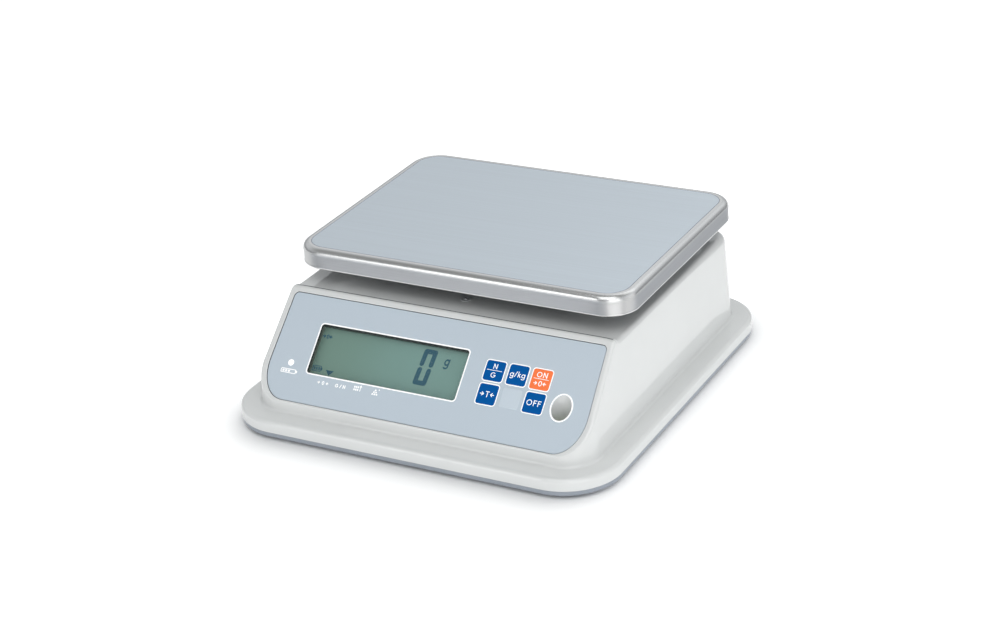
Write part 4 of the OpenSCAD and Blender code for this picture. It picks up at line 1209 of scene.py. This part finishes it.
build_key("key_net_gross", 0, 0, M["key_blue"], [("N", 0, 2.85, 3.3, 0.47, 0), ("-", 0, 0.3, 0, 0.34, 0), ("G", 0, -2.6, 3.3, 0.47, 0)])
build_key("key_unit", 1, 0, M["key_blue"], [("g/kg", 0, -0.1, 3.6, 0.47, 0.3)])
build_key("key_on_zero", 2, 0, M["key_orange"], [("ON", 0, 2.85, 3.4, 0.5, 0.45), ("-", 0, 0.3, 0, 0.34, 0), (">0<", 0, -2.6, 3.3, 0.47, 0.35)])
build_key("key_tare", 0, 1, M["key_blue"], [(">T<", 0, 0, 3.7, 0.5, 0.4)])
build_key("key_off", 2, 1, M["key_blue"], [("OFF", 0, 0, 3.6, 0.5, 0.45)])


# ------------------------------------------------------------ display marks
def seg_zero(x0, y0, w, h, t, slant):
    """A nought in two hooks: lower left corner, width, height, bar width, lean."""
    gm, ro = 0.45, 1.7
    xm, ym = x0 + w, y0 + h / 2
    top, q, k = y0 + h, 0.3 * t, 0.7 * t
    hook = [(xm - k, ym + gm), (xm - q, ym + gm), (xm, ym + gm + q)]
    hook += arc(xm - ro, top - ro, ro, ro, 0, 90, 6) + arc(x0 + ro, top - ro, ro, ro, 90, 180, 6)
    hook += [(x0, ym + gm + q), (x0 + q, ym + gm), (x0 + k, ym + gm), (x0 + t, ym + gm + q)]
    hook += [(x0 + t, top - t), (xm - t, top - t), (xm - t, ym + gm + q)]
    out = []
    for lp in (hook, [(x, 2 * ym - y) for x, y in hook][::-1]):
        out.append([(x + slant * (y - y0), y) for x, y in lp])
    return out


def build_display():
    b = Build()
    w0, w1 = -4.0, -3.97
    du, dv = -2.07, 1.25
    for lp in seg_zero(-8.75 + du, 25.15 + dv, 9.3, 23.3, 3.0, 0.066):
        prism(b, [lp], w0, w1)
    cx, cy = 9.6 + du, 41.1 + dv
    for lp in legend("g", cx, cy, 6.0, 1.0):
        prism(b, [[(cx + 0.85 * (px - cx) + 0.1 * (py - 41), cy + 1.08 * (py - cy)) for px, py in k] for k in lp], w0, w1)
    x, y = -75.5 + du, 44.7 + dv
    for lp in legend(">0<", x, y, 3.0, 0.7, 0.0):
        prism(b, lp, w0, w1)
    prism(b, [[(-69.1 + du, 23.5 + dv), (-66.2 + du, 20.2 + dv), (-63.3 + du, 23.5 + dv)]], w0, w1)
    x, y = -75.4 + du, 23.5 + dv
    prism(b, [rounded(x - 3.4, x + 2.8, y - 1.9, y + 1.9, 0.3, 3), rounded(x - 2.9, x + 2.3, y - 1.4, y + 1.4, 0.2, 3)[::-1]], w0, w1)
    prism(b, [rounded(x + 2.8, x + 3.6, y - 0.9, y + 0.9, 0.1, 2)], w0, w1)
    for k in range(3):
        prism(b, [rounded(x - 2.4 + 1.6 * k, x - 1.3 + 1.6 * k, y - 1.0, y + 1.0, 0.1, 2)], w0, w1)
    ob = b.make("display_figures", [M["segment"]], 40)


build_display()


# ------------------------------------------------------ a fixed part copied in place
def bends(name, node):
    """A copy of a fixed part, put in its place; the part itself is hidden."""
    src = frame["nodes"][node]
    ob = bpy.data.objects.new(name, src.data.copy())
    scene.collection.objects.link(ob)
    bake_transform(ob)
    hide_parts(node)


bends("load_cell_bar", "load_cell")


# ------------------------------------------------------------ stage and light
def build_stage():
    me = bpy.data.meshes.new("floor")
    s = 6.0
    me.from_pydata([(-s, -s, 0), (s, -s, 0), (s, s, 0), (-s, s, 0)], [], [(0, 1, 2, 3)])
    ob = bpy.data.objects.new("floor", me)
    scene.collection.objects.link(ob)
    m, n, l, b = new_mat("floor_white", (0.92, 0.92, 0.92), 0.9, 0, 0.0)
    tc = n.new("ShaderNodeTexCoord")
    ln = n.new("ShaderNodeVectorMath")
    ln.operation = "LENGTH"
    l.new(tc.outputs["Object"], ln.inputs[0])
    sep = n.new("ShaderNodeSeparateXYZ")
    l.new(tc.outputs["Object"], sep.inputs[0])
    # Painted shade: the floor turns darker and stops glowing ahead, far off and behind right.
    front = spread(n, l, sep.outputs["Y"], 0.0, 1.0, -1.1, -0.45)
    far = spread(n, l, ln.outputs["Value"], 1.0, 0.0, 1.05, 2.4)
    least = n.new("ShaderNodeMath")
    least.operation = "MINIMUM"
    l.new(front, least.inputs[0])
    l.new(far, least.inputs[1])
    beyond = n.new("ShaderNodeMath")
    beyond.operation = "MULTIPLY_ADD"
    beyond.inputs[1].default_value = 0.296
    l.new(sep.outputs["Y"], beyond.inputs[0])
    l.new(sep.outputs["X"], beyond.inputs[2])
    inner = n.new("ShaderNodeMath")
    inner.operation = "MINIMUM"
    l.new(least.outputs[0], inner.inputs[0])
    l.new(spread(n, l, beyond.outputs[0], 1.0, 0.0, 0.40, 0.78), inner.inputs[1])
    ahead = inner.outputs[0]
    # Painted contact shadow: the floor's glow drops to nothing next to the base.
    glow = n.new("ShaderNodeMath")
    glow.operation = "MULTIPLY"
    reach = []
    for axis, half, shift in (("X", 0.086, 0.0), ("Y", 0.0969, 0.004)):
        move = n.new("ShaderNodeMath")
        move.operation = "ADD"
        move.inputs[1].default_value = shift
        l.new(sep.outputs[axis], move.inputs[0])
        size = n.new("ShaderNodeMath")
        size.operation = "ABSOLUTE"
        l.new(move.outputs[0], size.inputs[0])
        away = n.new("ShaderNodeMath")
        away.operation = "SUBTRACT"
        l.new(size.outputs[0], away.inputs[0])
        away.inputs[1].default_value = half
        reach.append(away.outputs[0])
    off = n.new("ShaderNodeCombineXYZ")
    for k in (0, 1):
        least0 = n.new("ShaderNodeMath")
        least0.operation = "MAXIMUM"
        least0.inputs[1].default_value = 0.0
        l.new(reach[k], least0.inputs[0])
        l.new(least0.outputs[0], off.inputs[k])
    dist = n.new("ShaderNodeVectorMath")
    dist.operation = "LENGTH"
    l.new(off.outputs[0], dist.inputs[0])
    l.new(spread(n, l, dist.outputs["Value"], 0.0, 0.44, 0.034, 0.064), glow.inputs[0])
    l.new(ahead, glow.inputs[1])
    b.inputs["Emission Color"].default_value = (0.99, 0.997, 1, 1)
    l.new(glow.outputs[0], b.inputs["Emission Strength"])
    l.new(tint(n, l, ahead, (0.62, 0.62, 0.62), (0.92, 0.92, 0.92), 0.0, 1.0), b.inputs["Base Color"])
    me.materials.append(m)


build_stage()


def area_light(name, loc, target, size, power, color=(1, 1, 1), size_y=None):
    d = bpy.data.lights.new(name, "AREA")
    d.shape = "RECTANGLE"
    d.size, d.size_y = size, size_y or size
    d.energy = power
    d.color = color
    o = bpy.data.objects.new(name, d)
    scene.collection.objects.link(o)
    o.location = loc
    o.visible_camera = False
    o.rotation_mode = "QUATERNION"
    o.rotation_quaternion = (Vector(target) - Vector(loc)).to_track_quat("-Z", "Y")
    return o


def build_world():
    """Soft studio dome: light walls behind, a darker ceiling and a dim side in front."""
    w = bpy.data.worlds.new("studio")
    scene.world = w
    w.use_nodes = True
    n, l = w.node_tree.nodes, w.node_tree.links
    bg = n["Background"]
    tc = n.new("ShaderNodeTexCoord")
    sep = n.new("ShaderNodeSeparateXYZ")
    l.new(tc.outputs["Generated"], sep.inputs[0])
    r = n.new("ShaderNodeValToRGB")
    e = r.color_ramp.elements
    e[0].position, e[0].color = 0.0, (0.46, 0.475, 0.49, 1)
    e[1].position, e[1].color = 1.0, (0.34, 0.345, 0.34, 1)
    for at, c in ((0.20, (0.50, 0.515, 0.53, 1)), (0.42, (0.92, 0.94, 0.96, 1)), (0.60, (0.86, 0.875, 0.89, 1)), (0.84, (0.48, 0.49, 0.485, 1))):
        e.new(at).color = c
    l.new(sep.outputs["Z"], r.inputs["Fac"])
    l.new(r.outputs["Color"], bg.inputs["Color"])
    side = n.new("ShaderNodeMath")
    side.operation = "MULTIPLY"
    l.new(spread(n, l, sep.outputs["Y"], 0.56, 1.06, -0.8, 0.25), side.inputs[0])
    l.new(spread(n, l, sep.outputs["X"], 0.78, 1.0, -0.6, 0.2), side.inputs[1])
    # a grey flag stands low behind the right side
    dot = n.new("ShaderNodeVectorMath")
    dot.operation = "DOT_PRODUCT"
    l.new(tc.outputs["Generated"], dot.inputs[0])
    dot.inputs[1].default_value = (0.555, 0.82, 0.14)
    flag = n.new("ShaderNodeMapRange")
    flag.interpolation_type = "SMOOTHSTEP"
    flag.inputs["From Min"].default_value, flag.inputs["From Max"].default_value = 0.82, 0.985
    flag.inputs["To Min"].default_value, flag.inputs["To Max"].default_value = 1.0, 0.7
    l.new(dot.outputs["Value"], flag.inputs["Value"])
    dim = n.new("ShaderNodeMath")
    dim.operation = "MULTIPLY"
    l.new(side.outputs[0], dim.inputs[0])
    l.new(flag.outputs["Result"], dim.inputs[1])
    l.new(dim.outputs[0], bg.inputs["Strength"])


build_world()
area_light("key_right", (1.72, 0.35, 0.36), (0, 0, 0.05), 1.4, 1.3, (1, 0.97, 0.93), 0.6)
area_light("corner_box", (1.36, -1.45, 1.40), (0, 0, 0.08), 1.5, 8.0, (1, 1, 1), 2.0)
area_light("corner_card", (1.36, -1.46, 0.36), (0, 0, 0.08), 1.8, 5.3, (1, 0.995, 0.985), 0.56)
area_light("top_front", (0.20, -0.72, 1.50), (0, -0.03, 0.05), 1.2, 6.6, (0.99, 0.997, 1))
area_light("rim_strip", (-0.875, -1.73, 0.88), (0, 0, 0.09), 0.56, 4.2, (1, 1, 1), 1.05)
area_light("back_top", (0.15, 1.1, 1.5), (0, -0.05, 0.05), 1.3, 2.5, (1, 1, 1), 0.9)

# ----------------------------------------------------------------- camera
yaw, pitch, roll = math.radians(-29.44), math.radians(25.61), math.radians(3.83)
fwd = Vector((math.sin(yaw) * math.cos(pitch), math.cos(yaw) * math.cos(pitch), -math.sin(pitch)))
right0 = Vector((math.cos(yaw), -math.sin(yaw), 0))
down0 = fwd.cross(right0)
cr, sr = math.cos(roll), math.sin(roll)
right = cr * right0 + sr * down0
down = -sr * right0 + cr * down0
cam = bpy.data.cameras.new("camera")
cam.sensor_fit = "HORIZONTAL"
cam.sensor_width = 36.0
cam.lens = 2211.6 * 36.0 / 1000
cam.shift_x = (500 - 498.42) / 1000
cam.clip_start, cam.clip_end = 0.05, 50
co = bpy.data.objects.new("camera", cam)
scene.collection.objects.link(co)
rot = Matrix((right, -down, -fwd)).transposed()
co.matrix_world = Matrix.Translation(Vector((0.6207, -1.10207, 0.6444))) @ rot.to_4x4()
scene.camera = co
scene.view_settings.view_transform = "Standard"
